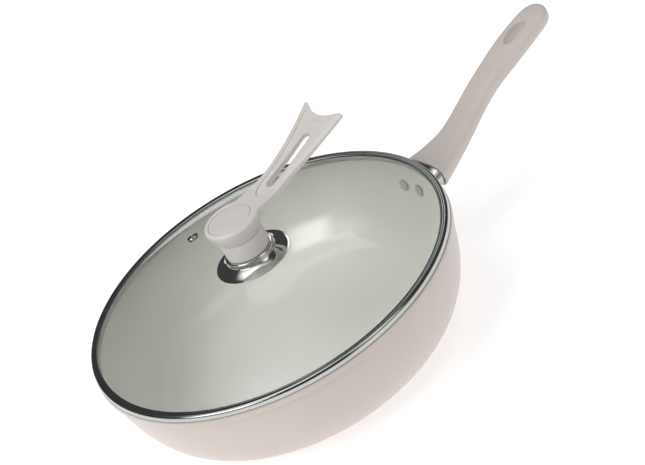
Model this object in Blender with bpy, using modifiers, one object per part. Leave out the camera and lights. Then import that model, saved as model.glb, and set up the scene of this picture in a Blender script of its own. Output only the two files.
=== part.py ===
"""Deep pan with a glass lid that stands on its knob arm.

Frame: metres, +Z up. The origin is the centre of the pan's base, on the surface it rests on.
The handle and the knob's arm point along +X. The steam vent is on the +Y side of the lid.
Bodies: the pan with its handle, the lid that lifts off it, and the knob that turns on the lid's one screw.
"""

import math

import bmesh
import bpy
from mathutils import Matrix, Vector

MM = 0.001

# Pan
RIM_RADIUS = 150.5 * MM
PAN_HEIGHT = 77.4 * MM
WALL_THICKNESS = 3.0 * MM
FLOOR_THICKNESS = 4.5 * MM
LIP_HEIGHT = 5.4 * MM
LIP_WIDTH = 5.1 * MM
LIP_STEP = 2.8 * MM
BASE_RADIUS = 88.0 * MM
CURVE_CENTRE_RADIUS = 55.0 * MM
CORNER_POWER_UP = 1.59
CORNER_POWER_OUT = 4.68
BASE_PLATE_RADIUS = BASE_RADIUS - 10.0 * MM
BASE_PLATE_THICKNESS = 1.2 * MM
EDGE_ROUNDING = 1.0 * MM

# Lid
BAND_RADIUS = RIM_RADIUS - 0.5 * MM
BAND_SHEET = 0.5 * MM
BAND_FLANGE = 6.4 * MM
SKIRT_DEPTH = 4.0 * MM
SKIRT_CLEARANCE = 0.7 * MM
GLASS_THICKNESS = 3.2 * MM
DOME_RISE = 22.3 * MM
GLASS_EDGE = 0.6 * MM
VENT_DISTANCE = 97.0 * MM
VENT_HOLE_RADIUS = 1.6 * MM
VENT_SLEEVE_RADIUS = VENT_HOLE_RADIUS + 2.0 * MM
VENT_FLANGE_RADIUS = VENT_SLEEVE_RADIUS + 1.6 * MM
VENT_CROWN = 1.3 * MM
VENT_ROUNDING = 0.9 * MM

# Knob: heights are above the top of the dome
NECK_RADIUS = 17.8 * MM
COLLAR_RADIUS = NECK_RADIUS + 2.2 * MM
COLLAR_TOP = 8.5 * MM
COLLAR_DEPTH = 4.2 * MM
SAUCER_RADIUS = COLLAR_RADIUS + 10.6 * MM
SAUCER_SHEET = 0.8 * MM
NECK_TOP = 23.6 * MM
CAP_TOP = 38.5 * MM
CAP_HALF_LENGTH = NECK_RADIUS + 4.8 * MM
CAP_HALF_WIDTH = NECK_RADIUS + 4.5 * MM
COVER_HALF_LENGTH = CAP_HALF_LENGTH - 4.9 * MM
COVER_HALF_WIDTH = CAP_HALF_WIDTH - 5.7 * MM
COVER_CENTRE = -1.6 * MM
COVER_CROWN = 0.9 * MM
COVER_SINK = 0.5 * MM
COVER_THICKNESS = 2.0 * MM

# Arm of the knob
ARM_REACH = 109.0 * MM
ARM_BEND = 28.0 * MM
ARM_RISE = 20.2 * MM
ARM_RISE_POWER = 1.45
ARM_FLARE_START = 48.0 * MM
ARM_FLARE_POWER = 1.45
ARM_ROOT_HALF_WIDTH = NECK_RADIUS - 3.4 * MM
ARM_TIP_HALF_WIDTH = ARM_ROOT_HALF_WIDTH + 11.3 * MM
ARM_STEP = 0.2 * MM
ARM_CREST = 1.2 * MM
ARM_CREST_SHARE = 0.66
ARM_CREST_RUN = 25.0 * MM
ARM_ROOT_THICKNESS = 7.4 * MM
ARM_TIP_THICKNESS = 4.6 * MM
ARM_ROOT_EDGE = 4.6 * MM
ARM_TIP_EDGE = 2.4 * MM
ARM_SLOT_START = 38.0 * MM
ARM_SLOT_LENGTH = ARM_REACH - 59.0 * MM
ARM_SLOT_WIDTH = 8.0 * MM
NOTCH_DEPTH = 6.4 * MM
PRONG_WIDTH = 4.0 * MM
PRONG_ROUNDING = 1.8 * MM
TROUGH_DEPTH = 1.2 * MM
TROUGH_INSET = 5.6 * MM
TROUGH_START = 27.0 * MM

# Screws
SCREW_RADIUS = 2.5 * MM
GLASS_HOLE_RADIUS = SCREW_RADIUS + 2.7 * MM
SCREW_HEAD_RADIUS = SCREW_RADIUS + 3.0 * MM
SCREW_HEAD_HEIGHT = 2.8 * MM
SCREW_LENGTH = 24.0 * MM
INSERT_RADIUS = SCREW_RADIUS + 1.7 * MM
INSERT_LENGTH = 13.0 * MM
SPIGOT_RADIUS = INSERT_RADIUS + 3.3 * MM
SEAL_THICKNESS = 1.0 * MM
SEAL_RADIUS = GLASS_HOLE_RADIUS + 4.8 * MM
WASHER_THICKNESS = 1.0 * MM
WASHER_RADIUS = SEAL_RADIUS - 1.0 * MM
ARM_SCREW_RADIUS = 1.8 * MM
ARM_SCREW_HEAD_RADIUS = ARM_SCREW_RADIUS + 1.6 * MM
ARM_SCREW_HEAD_HEIGHT = 2.0 * MM
ARM_SCREW_SPACING = 19.0 * MM
ARM_SCREW_BITE = 9.0 * MM
ARM_SCREW_WALL = 6.0 * MM

# Handle and its fixing
HANDLE_GAP = 9.5 * MM
HANDLE_LENGTH = 156.5 * MM
HANDLE_BASE_WIDTH = 48.0 * MM
HANDLE_BASE_THICKNESS = 21.0 * MM
HANDLE_WAIST_WIDTH = 27.5 * MM
HANDLE_WAIST_THICKNESS = 14.5 * MM
HANDLE_GRIP_WIDTH = 33.0 * MM
HANDLE_GRIP_THICKNESS = 14.0 * MM
HANDLE_RISE = 42.0 * MM
HANDLE_DROP = 19.6 * MM
HANG_HOLE_LENGTH = 24.0 * MM
HANG_HOLE_WIDTH = 13.0 * MM
HANG_HOLE_FROM_END = 43.0 * MM
GUARD_SHEET = 0.8 * MM
GUARD_SEAT = 4.0 * MM
GUARD_RIM = 2.2 * MM
BRACKET_WIDTH = 32.0 * MM
BRACKET_HEIGHT = HANDLE_BASE_THICKNESS - 10.0 * MM
BRACKET_THICKNESS = 4.0 * MM
TONGUE_WIDTH = 20.0 * MM
TONGUE_THICKNESS = 6.0 * MM
TONGUE_LENGTH = 42.0 * MM
TONGUE_SLOPE = math.radians(10.0)
RIVET_SPACING = 20.0 * MM
RIVET_DROP = 22.6 * MM
RIVET_RADIUS = 2.5 * MM
RIVET_HEAD_RADIUS = 4.7 * MM
RIVET_HEAD_HEIGHT = 1.1 * MM
RIVET_TAIL_RADIUS = BRACKET_HEIGHT * 4 / 11
RIVET_TAIL_HEIGHT = 1.4 * MM
HANDLE_SCREW_RADIUS = 2.0 * MM
HANDLE_SCREW_HEAD_RADIUS = 3.7 * MM
HANDLE_SCREW_HEAD_HEIGHT = 2.0 * MM
HANDLE_SCREW_FROM_BASE = 19.0 * MM
HANDLE_WASHER_THICKNESS = 0.6 * MM
HANDLE_SCREW_WALL = 1.4 * MM
HANDLE_WASHER_OVERHANG = 0.3 * MM

GAP = 0.3 * MM
# How far a cutter is carried past what it cuts, so that no two faces lie in one plane
PAST = 5 * MM

RIM_SEGMENTS = 64
KNOB_SEGMENTS = 32
SMALL_SEGMENTS = 16
WALL_STEPS = 10
DOME_STEPS = 8
HANDLE_STEPS = 15
HANDLE_SIDES = 24

# Heights that follow from the sizes above
LIP_BOTTOM = PAN_HEIGHT - LIP_HEIGHT
WALL_RADIUS = RIM_RADIUS - LIP_STEP
LIP_INNER_RADIUS = RIM_RADIUS - LIP_WIDTH
BAND_BOTTOM = PAN_HEIGHT + GAP
GLASS_BOTTOM = BAND_BOTTOM + BAND_SHEET + GAP
GLASS_TOP = GLASS_BOTTOM + GLASS_THICKNESS
BAND_TOP = GLASS_TOP + GAP + BAND_SHEET
GLASS_RADIUS = BAND_RADIUS - BAND_SHEET - GAP
DOME_RADIUS = BAND_RADIUS - BAND_FLANGE - GAP
DOME_SPHERE = (DOME_RADIUS**2 + DOME_RISE**2) / (2 * DOME_RISE)
APEX = GLASS_TOP + DOME_RISE
RIVET_HEIGHT = PAN_HEIGHT - RIVET_DROP
HANDLE_START = RIM_RADIUS + HANDLE_GAP
HANDLE_END = HANDLE_START + HANDLE_LENGTH
HANDLE_BASE_HEIGHT = PAN_HEIGHT - HANDLE_DROP


def material(name, colour, roughness, metallic=0.0, alpha=1.0):
    """A plain Principled finish for one kind of part."""
    made = bpy.data.materials.new(name)
    made.use_nodes = True
    shader = made.node_tree.nodes["Principled BSDF"]
    shader.inputs["Base Color"].default_value = (*colour, 1.0)
    shader.inputs["Roughness"].default_value = roughness
    shader.inputs["Metallic"].default_value = metallic
    shader.inputs["Alpha"].default_value = alpha
    return made


def finish_object(name, mesh, finish, collection):
    """Puts a mesh in the scene as a named part with its own material."""
    part = bpy.data.objects.new(name, mesh)
    collection.objects.link(part)
    if finish is not None:
        mesh.materials.append(finish)
    return part


def mesh_from(name, shape):
    """Turns a bmesh into a smooth-shaded mesh with its normals facing out."""
    bmesh.ops.recalc_face_normals(shape, faces=shape.faces)
    mesh = bpy.data.meshes.new(name)
    shape.to_mesh(mesh)
    shape.free()
    mesh.shade_smooth()
    mesh.set_sharp_from_angle(angle=math.radians(35))
    return mesh


def turned(name, profile, finish, collection, segments=SMALL_SEGMENTS, ring=True):
    """A turned part: the profile of (radius, height) points runs down the outer side."""
    mesh = bpy.data.meshes.new(name)
    points = [(radius, 0.0, height) for radius, height in profile]
    edges = [(i, i + 1) for i in range(len(points) - 1)]
    if ring:
        edges.append((len(points) - 1, 0))
    mesh.from_pydata(points, edges, [])
    part = finish_object(name, mesh, finish, collection)
    screw = part.modifiers.new("turn", "SCREW")
    screw.axis = "Z"
    screw.angle = 2 * math.pi
    screw.steps = segments
    screw.render_steps = segments
    screw.use_smooth_shade = True
    screw.use_merge_vertices = True
    screw.merge_threshold = 0.00001
    return part


def lofted(name, rings, finish, collection):
    """A closed skin of triangles over rings of points, with a flat face at each end."""
    shape = bmesh.new()
    loops = [[shape.verts.new(point) for point in ring] for ring in rings]
    count = len(loops[0])
    for low, high in zip(loops, loops[1:]):
        for i in range(count):
            j = (i + 1) % count
            shape.faces.new((low[i], low[j], high[j], high[i]))
    shape.faces.new(loops[0])
    shape.faces.new(loops[-1])
    bmesh.ops.triangulate(shape, faces=shape.faces)
    return finish_object(name, mesh_from(name, shape), finish, collection)


def prism(name, outline, low, high, finish, collection):
    """An upright solid from a closed plan outline of (x, y) points."""
    rings = [[(x, y, z) for x, y in outline] for z in (low, high)]
    return lofted(name, rings, finish, collection)


def block(name, size, centre, finish, collection, turn=None, edge=0.0):
    """A box of the given size, turned about its own centre, with rounded edges if asked."""
    shape = bmesh.new()
    bmesh.ops.create_cube(shape, size=1.0)
    bmesh.ops.scale(shape, vec=size, verts=shape.verts)
    if edge > 0:
        bmesh.ops.bevel(
            shape, geom=shape.edges, offset=edge, segments=2, profile=0.5, affect="EDGES", material=-1
        )
    if turn is not None:
        bmesh.ops.transform(shape, matrix=turn, verts=shape.verts)
    bmesh.ops.translate(shape, vec=centre, verts=shape.verts)
    return finish_object(name, mesh_from(name, shape), finish, collection)


def rod(name, radius, low, high, finish, collection, segments=SMALL_SEGMENTS):
    """A cylinder between two points."""
    low = Vector(low)
    axis = Vector(high) - low
    shape = bmesh.new()
    bmesh.ops.create_cone(
        shape, cap_ends=True, segments=segments, radius1=radius, radius2=radius, depth=axis.length
    )
    turn = Vector((0, 0, 1)).rotation_difference(axis).to_matrix().to_4x4()
    bmesh.ops.transform(shape, matrix=Matrix.Translation(low + axis / 2) @ turn, verts=shape.verts)
    return finish_object(name, mesh_from(name, shape), finish, collection)


def boolean(part, other, operation="DIFFERENCE"):
    """Adds an exact Boolean with another object."""
    change = part.modifiers.new(operation.lower(), "BOOLEAN")
    change.operation = operation
    change.solver = "EXACT"
    change.object = other


def hide(*helpers):
    """Marks cutters and construction shapes, which are no part of the object."""
    for helper in helpers:
        helper.hide_render = True
        helper.display_type = "WIRE"


def spread(low, high, count):
    """Evenly spaced values with both ends."""
    return [low + (high - low) * i / (count - 1) for i in range(count)]


def blend(start, end, share):
    return start + (end - start) * share


def smooth(t):
    """An ease from 0 to 1 with no slope at either end."""
    return t * t * (3 - 2 * t)


# ---------------------------------------------------------------- pan


def wall_curve(top_radius, top, bottom, end_radius, count):
    """The pan's side: nearly upright below the lip, then rounding under into the flat base."""
    end = math.acos(
        ((end_radius - CURVE_CENTRE_RADIUS) / (top_radius - CURVE_CENTRE_RADIUS)) ** (CORNER_POWER_OUT / 2)
    )
    depth = (top - bottom) / math.sin(end) ** (2 / CORNER_POWER_UP)
    points = []
    for angle in spread(0.0, end, count):
        reach = math.cos(angle) ** (2 / CORNER_POWER_OUT)
        radius = CURVE_CENTRE_RADIUS + (top_radius - CURVE_CENTRE_RADIUS) * reach
        points.append((radius, top - depth * math.sin(angle) ** (2 / CORNER_POWER_UP)))
    return points


def outer_wall():
    return wall_curve(WALL_RADIUS, LIP_BOTTOM, 0.0, BASE_RADIUS, WALL_STEPS)


def inner_wall():
    end = BASE_RADIUS - WALL_THICKNESS
    return wall_curve(WALL_RADIUS - WALL_THICKNESS, LIP_BOTTOM, FLOOR_THICKNESS, end, WALL_STEPS)


def wall_at(height, points):
    """Radius of the wall and its lean from upright at a height."""
    for (high_radius, high), (low_radius, low) in zip(points, points[1:]):
        if low <= height <= high:
            share = (height - low) / (high - low)
            lean = math.atan2(high_radius - low_radius, high - low)
            return low_radius + (high_radius - low_radius) * share, lean
    raise ValueError("the height is not on the wall")


def make_pan(parts, cutters):
    coat = material("pan_coating", (0.62, 0.545, 0.50), 0.38)
    steel = material("base_steel", (0.55, 0.55, 0.54), 0.35, 1.0)
    edge = EDGE_ROUNDING
    plate_seat = BASE_PLATE_THICKNESS + GAP
    profile = [
        (RIM_RADIUS - edge, PAN_HEIGHT),
        (RIM_RADIUS, PAN_HEIGHT - edge),
        (RIM_RADIUS, LIP_BOTTOM + edge / 2),
        (RIM_RADIUS - edge / 2, LIP_BOTTOM),
    ]
    profile += outer_wall()
    profile += [(BASE_PLATE_RADIUS + GAP, 0.0), (BASE_PLATE_RADIUS + GAP, plate_seat), (0.0, plate_seat)]
    profile += [(0.0, FLOOR_THICKNESS)]
    profile += list(reversed(inner_wall()))
    profile += [(LIP_INNER_RADIUS, PAN_HEIGHT - edge), (LIP_INNER_RADIUS + edge, PAN_HEIGHT)]
    pan = turned("pan_body", profile, coat, parts, RIM_SEGMENTS)
    turned(
        "base_plate",
        [
            (0.0, BASE_PLATE_THICKNESS),
            (BASE_PLATE_RADIUS, BASE_PLATE_THICKNESS),
            (BASE_PLATE_RADIUS, 0.0),
            (0.0, 0.0),
        ],
        steel,
        parts,
        RIM_SEGMENTS,
        ring=False,
    )
    # The same outside, one gap larger, shapes whatever is fitted against the wall.
    shell = [(0.0, PAN_HEIGHT + GAP), (RIM_RADIUS + GAP, PAN_HEIGHT + GAP)]
    shell += [(RIM_RADIUS + GAP, LIP_BOTTOM - GAP)]
    shell += [(radius + GAP, height - GAP) for radius, height in outer_wall()]
    shell += [(0.0, -GAP)]
    clear = turned("wall_clearance", shell, None, cutters, RIM_SEGMENTS, ring=False)
    hide(clear)
    return pan, clear


def rivet_frame(side):
    """Where a rivet's axis leaves the inner wall, square to the wall."""
    radius, lean = wall_at(RIVET_HEIGHT, inner_wall())
    angle = math.asin(side * RIVET_SPACING / 2 / radius)
    out = Matrix.Rotation(angle, 4, "Z") @ Matrix.Translation((radius, 0, RIVET_HEIGHT))
    return out @ Matrix.Rotation(math.pi / 2 + lean, 4, "Y")


def make_fixing(pan, clear, parts, cutters):
    """Rivets, bracket and its tongue."""
    steel = material("rivet_coating", (0.60, 0.60, 0.55), 0.4)
    cast = material("cast_bracket", (0.60, 0.60, 0.60), 0.45, 1.0)
    radius, lean = wall_at(RIVET_HEIGHT, outer_wall())
    tilt = Matrix.Rotation(lean, 4, "Y")
    start = Vector((radius, 0, RIVET_HEIGHT))
    saddle = block(
        "handle_bracket",
        (BRACKET_THICKNESS * 2, BRACKET_WIDTH, BRACKET_HEIGHT),
        start,
        cast,
        parts,
        turn=tilt,
        edge=0.8 * MM,
    )
    tongue_turn = Matrix.Rotation(-TONGUE_SLOPE, 4, "Y")
    along = tongue_turn @ Vector((1, 0, 0))
    tongue = block(
        "tongue_form",
        (TONGUE_LENGTH, TONGUE_WIDTH, TONGUE_THICKNESS),
        tongue_start() + along * TONGUE_LENGTH / 2,
        None,
        cutters,
        turn=tongue_turn,
    )
    boolean(saddle, tongue, "UNION")
    boolean(saddle, clear)
    hide(tongue)
    wall = WALL_THICKNESS + BRACKET_THICKNESS + 2 * GAP
    head_seat = -2 * GAP
    for side, name in ((-1, "rivet_right"), (1, "rivet_left")):
        place = rivet_frame(side)
        profile = [
            (0.0, wall + RIVET_TAIL_HEIGHT + GAP),
            (RIVET_TAIL_RADIUS * 0.6, wall + RIVET_TAIL_HEIGHT + GAP),
            (RIVET_TAIL_RADIUS, wall + RIVET_TAIL_HEIGHT * 0.5 + GAP),
            (RIVET_TAIL_RADIUS, wall + GAP),
            (RIVET_RADIUS, wall + GAP),
            (RIVET_RADIUS, head_seat),
            (RIVET_HEAD_RADIUS, head_seat),
            (RIVET_HEAD_RADIUS, head_seat - RIVET_HEAD_HEIGHT * 0.5),
            (RIVET_HEAD_RADIUS * 0.8, head_seat - RIVET_HEAD_HEIGHT),
            (0.0, head_seat - RIVET_HEAD_HEIGHT),
        ]
        rivet = turned(name, profile, steel, parts, ring=False)
        rivet.matrix_world = place
        low = place @ Vector((0, 0, -2 * WALL_THICKNESS))
        high = place @ Vector((0, 0, 2 * wall))
        hole = rod(name + "_hole", RIVET_RADIUS + GAP, low, high, None, cutters)
        boolean(pan, hole)
        boolean(saddle, hole)
        # The tail needs a flat seat with room around it, clear of the tongue's root.
        seat_low = place @ Vector((0, 0, wall))
        seat = rod(name + "_seat", RIVET_TAIL_RADIUS + GAP, seat_low, high, None, cutters)
        boolean(saddle, seat)
        # Where the wall bends away under a head, the head gets a flat of its own.
        head_low = place @ Vector((0, 0, -PAST))
        head_high = place @ Vector((0, 0, head_seat + GAP))
        head_flat = rod(name + "_flat", RIVET_HEAD_RADIUS + GAP, head_low, head_high, None, cutters)
        boolean(pan, head_flat)
        hide(hole, seat, head_flat)


def tongue_start():
    """The tongue's axis starts inside the saddle."""
    radius, _ = wall_at(RIVET_HEIGHT, outer_wall())
    return Vector((radius + BRACKET_THICKNESS / 2, 0, RIVET_HEIGHT))


# ---------------------------------------------------------------- handle


def handle_section(share):
    """Centre height, width and thickness of the handle at a share of its length."""
    # Along the handle, share of the rise, and how far width and thickness have gone to the waist's.
    toward_waist = [
        (0.0, 0.0, 0.0, 0.0),
        (0.10, 0.05, 0.44, 0.4),
        (0.23, 0.17, 0.88, 0.7),
        (0.49, 0.60, 1.0, 1.0),
    ]
    stations = []
    for place, rise, narrow, thin in toward_waist:
        width = blend(HANDLE_BASE_WIDTH, HANDLE_WAIST_WIDTH, narrow)
        thickness = blend(HANDLE_BASE_THICKNESS, HANDLE_WAIST_THICKNESS, thin)
        stations.append((place, rise, width, thickness))
    stations.append((0.77, 0.89, HANDLE_GRIP_WIDTH, HANDLE_GRIP_THICKNESS))
    stations.append((1.0, 1.06, 0.88 * HANDLE_GRIP_WIDTH, 0.96 * HANDLE_GRIP_THICKNESS))
    shares = [station[0] for station in stations]
    values = [curve_through(shares, [station[i] for station in stations], share) for i in (1, 2, 3)]
    return HANDLE_BASE_HEIGHT + HANDLE_RISE * values[0], values[1], values[2]


def curve_through(places, values, place):
    """A smooth curve through the stations, with each slope taken from its neighbours."""
    last = len(places) - 1
    i = max(k for k in range(last) if place >= places[k] or k == 0)

    def slope(k):
        low, high = max(k - 1, 0), min(k + 1, last)
        return (values[high] - values[low]) / (places[high] - places[low])

    span = places[i + 1] - places[i]
    t = (place - places[i]) / span
    rise = values[i + 1] - values[i]
    return (
        values[i]
        + rise * smooth(t)
        + span * slope(i) * t * (1 - t) ** 2
        - span * slope(i + 1) * t * t * (1 - t)
    )


def rounded_ring(x, centre, width, thickness, power, count=HANDLE_SIDES):
    """A section of the handle: an oval with flattened sides, upright at one x."""
    ring = []
    for i in range(count):
        angle = 2 * math.pi * i / count
        across = math.copysign(abs(math.cos(angle)) ** (2 / power), math.cos(angle))
        up = math.copysign(abs(math.sin(angle)) ** (2 / power), math.sin(angle))
        ring.append((x, width / 2 * across, centre + thickness / 2 * up))
    return ring


def handle_rings():
    rings = []
    nose = HANDLE_GRIP_WIDTH * 0.42
    nose_share = 1 - nose / HANDLE_LENGTH
    for share in spread(0.0, nose_share, HANDLE_STEPS):
        centre, width, thickness = handle_section(share)
        rings.append(rounded_ring(HANDLE_START + share * HANDLE_LENGTH, centre, width, thickness, 3.0))
    for turn in spread(0.0, math.pi / 2, 6)[1:]:
        share = nose_share + (1 - nose_share) * math.sin(turn)
        centre, width, thickness = handle_section(share)
        narrow = max(math.cos(turn), 0.02) ** 0.75
        thin = max(math.cos(turn), 0.05) ** 0.35
        x = HANDLE_START + share * HANDLE_LENGTH
        rings.append(rounded_ring(x, centre, width * narrow, thickness * thin, 3.0))
    return rings


def guard_ring(x, inset):
    """The flame guard's section, which the handle's base takes with a rim left around it."""
    _, width, thickness = handle_section(0.0)
    share = (x - WALL_RADIUS) / (HANDLE_START - WALL_RADIUS)
    centre = RIVET_HEIGHT + (HANDLE_BASE_HEIGHT - RIVET_HEIGHT) * share
    rim = GUARD_RIM + inset
    return rounded_ring(x, centre, width - 2 * rim, thickness - 2 * rim, 3.0)


def make_handle(clear, parts, cutters):
    soft = material("handle_soft_touch", (0.60, 0.53, 0.475), 0.55)
    steel = material("guard_steel", (0.62, 0.62, 0.61), 0.22, 1.0)
    zinc = material("handle_screw_steel", (0.66, 0.66, 0.64), 0.35, 1.0)
    handle = lofted("handle", handle_rings(), soft, parts)

    guard_start = WALL_RADIUS - 4 * WALL_THICKNESS
    guard_end = HANDLE_START + GUARD_SEAT
    guard_rings = [guard_ring(x, 0.0) for x in (guard_start, guard_end)]
    guard = lofted("flame_guard", guard_rings, steel, parts)
    bore = lofted(
        "guard_bore",
        [guard_ring(x, GUARD_SHEET) for x in (guard_start - PAST, guard_end + PAST)],
        None,
        cutters,
    )
    boolean(guard, bore)
    boolean(guard, clear)
    seat = lofted(
        "guard_seat",
        [guard_ring(x, -GAP) for x in (HANDLE_START - PAST, guard_end + GAP)],
        None,
        cutters,
    )
    boolean(handle, seat)

    turn = Matrix.Rotation(-TONGUE_SLOPE, 4, "Y")
    along = turn @ Vector((1, 0, 0))
    up = turn @ Vector((0, 0, 1))
    socket = block(
        "tongue_socket",
        (TONGUE_LENGTH, TONGUE_WIDTH + 2 * GAP, TONGUE_THICKNESS + 2 * GAP),
        tongue_start() + along * (TONGUE_LENGTH / 2 + GAP),
        None,
        cutters,
        turn=turn,
    )
    boolean(handle, socket)

    # Screw from below, square to the tongue.
    reach = (HANDLE_START + HANDLE_SCREW_FROM_BASE - tongue_start().x) / along.x
    axis_point = tongue_start() + along * reach
    seat_depth = TONGUE_THICKNESS / 2 + HANDLE_SCREW_WALL
    washer_radius = HANDLE_SCREW_HEAD_RADIUS + HANDLE_WASHER_OVERHANG
    place = Matrix.Translation(axis_point) @ turn
    washer_top = -seat_depth - GAP
    head_top = washer_top - HANDLE_WASHER_THICKNESS - GAP
    shank_top = TONGUE_THICKNESS / 2 - HANDLE_SCREW_RADIUS / 2
    screw = turned(
        "handle_screw",
        [
            (0.0, shank_top),
            (HANDLE_SCREW_RADIUS, shank_top - HANDLE_SCREW_RADIUS / 5),
            (HANDLE_SCREW_RADIUS, head_top),
            (HANDLE_SCREW_HEAD_RADIUS, head_top),
            (HANDLE_SCREW_HEAD_RADIUS, head_top - HANDLE_SCREW_HEAD_HEIGHT * 0.6),
            (HANDLE_SCREW_HEAD_RADIUS * 0.7, head_top - HANDLE_SCREW_HEAD_HEIGHT),
            (0.0, head_top - HANDLE_SCREW_HEAD_HEIGHT),
        ],
        zinc,
        parts,
        ring=False,
    )
    washer = turned(
        "handle_washer",
        [
            (HANDLE_SCREW_RADIUS + GAP, washer_top),
            (washer_radius, washer_top),
            (washer_radius, washer_top - HANDLE_WASHER_THICKNESS),
            (HANDLE_SCREW_RADIUS + GAP, washer_top - HANDLE_WASHER_THICKNESS),
        ],
        zinc,
        parts,
    )
    screw.matrix_world = place
    washer.matrix_world = place
    shank_hole = rod(
        "screw_hole",
        HANDLE_SCREW_RADIUS + GAP,
        axis_point + up * (shank_top + GAP),
        axis_point - up * 2 * HANDLE_BASE_THICKNESS,
        None,
        cutters,
    )
    head_hole = rod(
        "screw_head_hole",
        washer_radius + GAP,
        axis_point - up * seat_depth,
        axis_point - up * 2 * HANDLE_BASE_THICKNESS,
        None,
        cutters,
    )
    boolean(handle, shank_hole)
    boolean(handle, head_hole)
    boolean(bpy.data.objects["handle_bracket"], shank_hole)

    hang = hang_hole(cutters)
    boolean(handle, hang)
    hide(bore, seat, socket, shank_hole, head_hole, hang)


def hang_hole(cutters):
    """An egg-shaped through hole near the handle's end, square to the handle there."""
    share = 1 - HANG_HOLE_FROM_END / HANDLE_LENGTH
    far_share = 1 - (HANG_HOLE_FROM_END - HANG_HOLE_LENGTH) / HANDLE_LENGTH
    low = handle_section(share)[0]
    high = handle_section(far_share)[0]
    slope = math.atan2(high - low, HANG_HOLE_LENGTH)
    outline = []
    for i in range(32):
        angle = 2 * math.pi * i / 32
        along = HANG_HOLE_LENGTH / 2 * math.cos(angle)
        narrow = 1.0 + 0.16 * math.cos(angle)
        outline.append((along, HANG_HOLE_WIDTH / 2 * math.sin(angle) * narrow))
    depth = 2 * HANDLE_GRIP_THICKNESS
    hole = prism("hang_hole", outline, -depth, depth, None, cutters)
    middle = HANDLE_END - HANG_HOLE_FROM_END + HANG_HOLE_LENGTH / 2
    hole.matrix_world = Matrix.Translation((middle, 0, (low + high) / 2)) @ Matrix.Rotation(-slope, 4, "Y")
    return hole


# ---------------------------------------------------------------- lid


def dome_height(radius):
    """Height of the glass's outer face."""
    return APEX - DOME_SPHERE + math.sqrt(DOME_SPHERE**2 - radius**2)


def make_lid(parts, cutters):
    glass_finish = material("lid_glass", (0.80, 0.86, 0.82), 0.04, alpha=0.25)
    steel = material("band_steel", (0.62, 0.62, 0.60), 0.25, 1.0)
    outer = [(radius, dome_height(radius)) for radius in spread(0.0, DOME_RADIUS, DOME_STEPS)]
    inner = [(radius, height - GLASS_THICKNESS) for radius, height in reversed(outer)]
    rim = [
        (GLASS_RADIUS - GLASS_EDGE, GLASS_TOP),
        (GLASS_RADIUS, GLASS_TOP - GLASS_EDGE),
        (GLASS_RADIUS, GLASS_BOTTOM + GLASS_EDGE),
        (GLASS_RADIUS - GLASS_EDGE, GLASS_BOTTOM),
    ]
    glass = turned("lid_glass", outer + rim + inner, glass_finish, parts, RIM_SEGMENTS, ring=False)
    hole_low = (0, 0, PAN_HEIGHT)
    hole_high = (0, 0, APEX + GLASS_THICKNESS)
    centre_hole = rod("glass_hole", GLASS_HOLE_RADIUS, hole_low, hole_high, None, cutters)
    boolean(glass, centre_hole)

    flange_in = BAND_RADIUS - BAND_FLANGE
    skirt_out = LIP_INNER_RADIUS - SKIRT_CLEARANCE
    skirt_in = skirt_out - BAND_SHEET
    skirt_end = BAND_BOTTOM - SKIRT_DEPTH
    turned(
        "lid_band",
        [
            (flange_in, BAND_TOP),
            (BAND_RADIUS - BAND_SHEET, BAND_TOP),
            (BAND_RADIUS, BAND_TOP - BAND_SHEET),
            (BAND_RADIUS, BAND_BOTTOM),
            (skirt_out, BAND_BOTTOM),
            (skirt_out, skirt_end),
            (skirt_in, skirt_end),
            (skirt_in, BAND_BOTTOM + BAND_SHEET),
            (BAND_RADIUS - BAND_SHEET, BAND_BOTTOM + BAND_SHEET),
            (BAND_RADIUS - BAND_SHEET, BAND_TOP - BAND_SHEET),
            (flange_in, BAND_TOP - BAND_SHEET),
        ],
        steel,
        parts,
        RIM_SEGMENTS,
    )

    lean = math.asin(VENT_DISTANCE / DOME_SPHERE)
    place = Matrix.Translation((0, VENT_DISTANCE, dome_height(VENT_DISTANCE)))
    place = place @ Matrix.Rotation(-lean, 4, "X")
    low = -GLASS_THICKNESS
    vent = turned(
        "vent_grommet",
        [
            (VENT_HOLE_RADIUS, VENT_ROUNDING + GAP),
            (VENT_HOLE_RADIUS + VENT_ROUNDING, VENT_CROWN + GAP),
            (VENT_FLANGE_RADIUS - VENT_ROUNDING / 2, VENT_ROUNDING + GAP),
            (VENT_FLANGE_RADIUS, GAP),
            (VENT_SLEEVE_RADIUS, GAP),
            (VENT_SLEEVE_RADIUS, low - GAP),
            (VENT_FLANGE_RADIUS - VENT_ROUNDING / 2, low - GAP),
            (VENT_FLANGE_RADIUS - VENT_ROUNDING, low - GAP - VENT_ROUNDING),
            (VENT_HOLE_RADIUS, low - GAP - VENT_ROUNDING),
        ],
        steel,
        parts,
    )
    vent.matrix_world = place
    vent_hole = rod(
        "vent_hole",
        VENT_SLEEVE_RADIUS + GAP,
        place @ Vector((0, 0, -3 * GLASS_THICKNESS)),
        place @ Vector((0, 0, 2 * GLASS_THICKNESS)),
        None,
        cutters,
    )
    boolean(glass, vent_hole)
    hide(centre_hole, vent_hole)


# ---------------------------------------------------------------- knob


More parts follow.
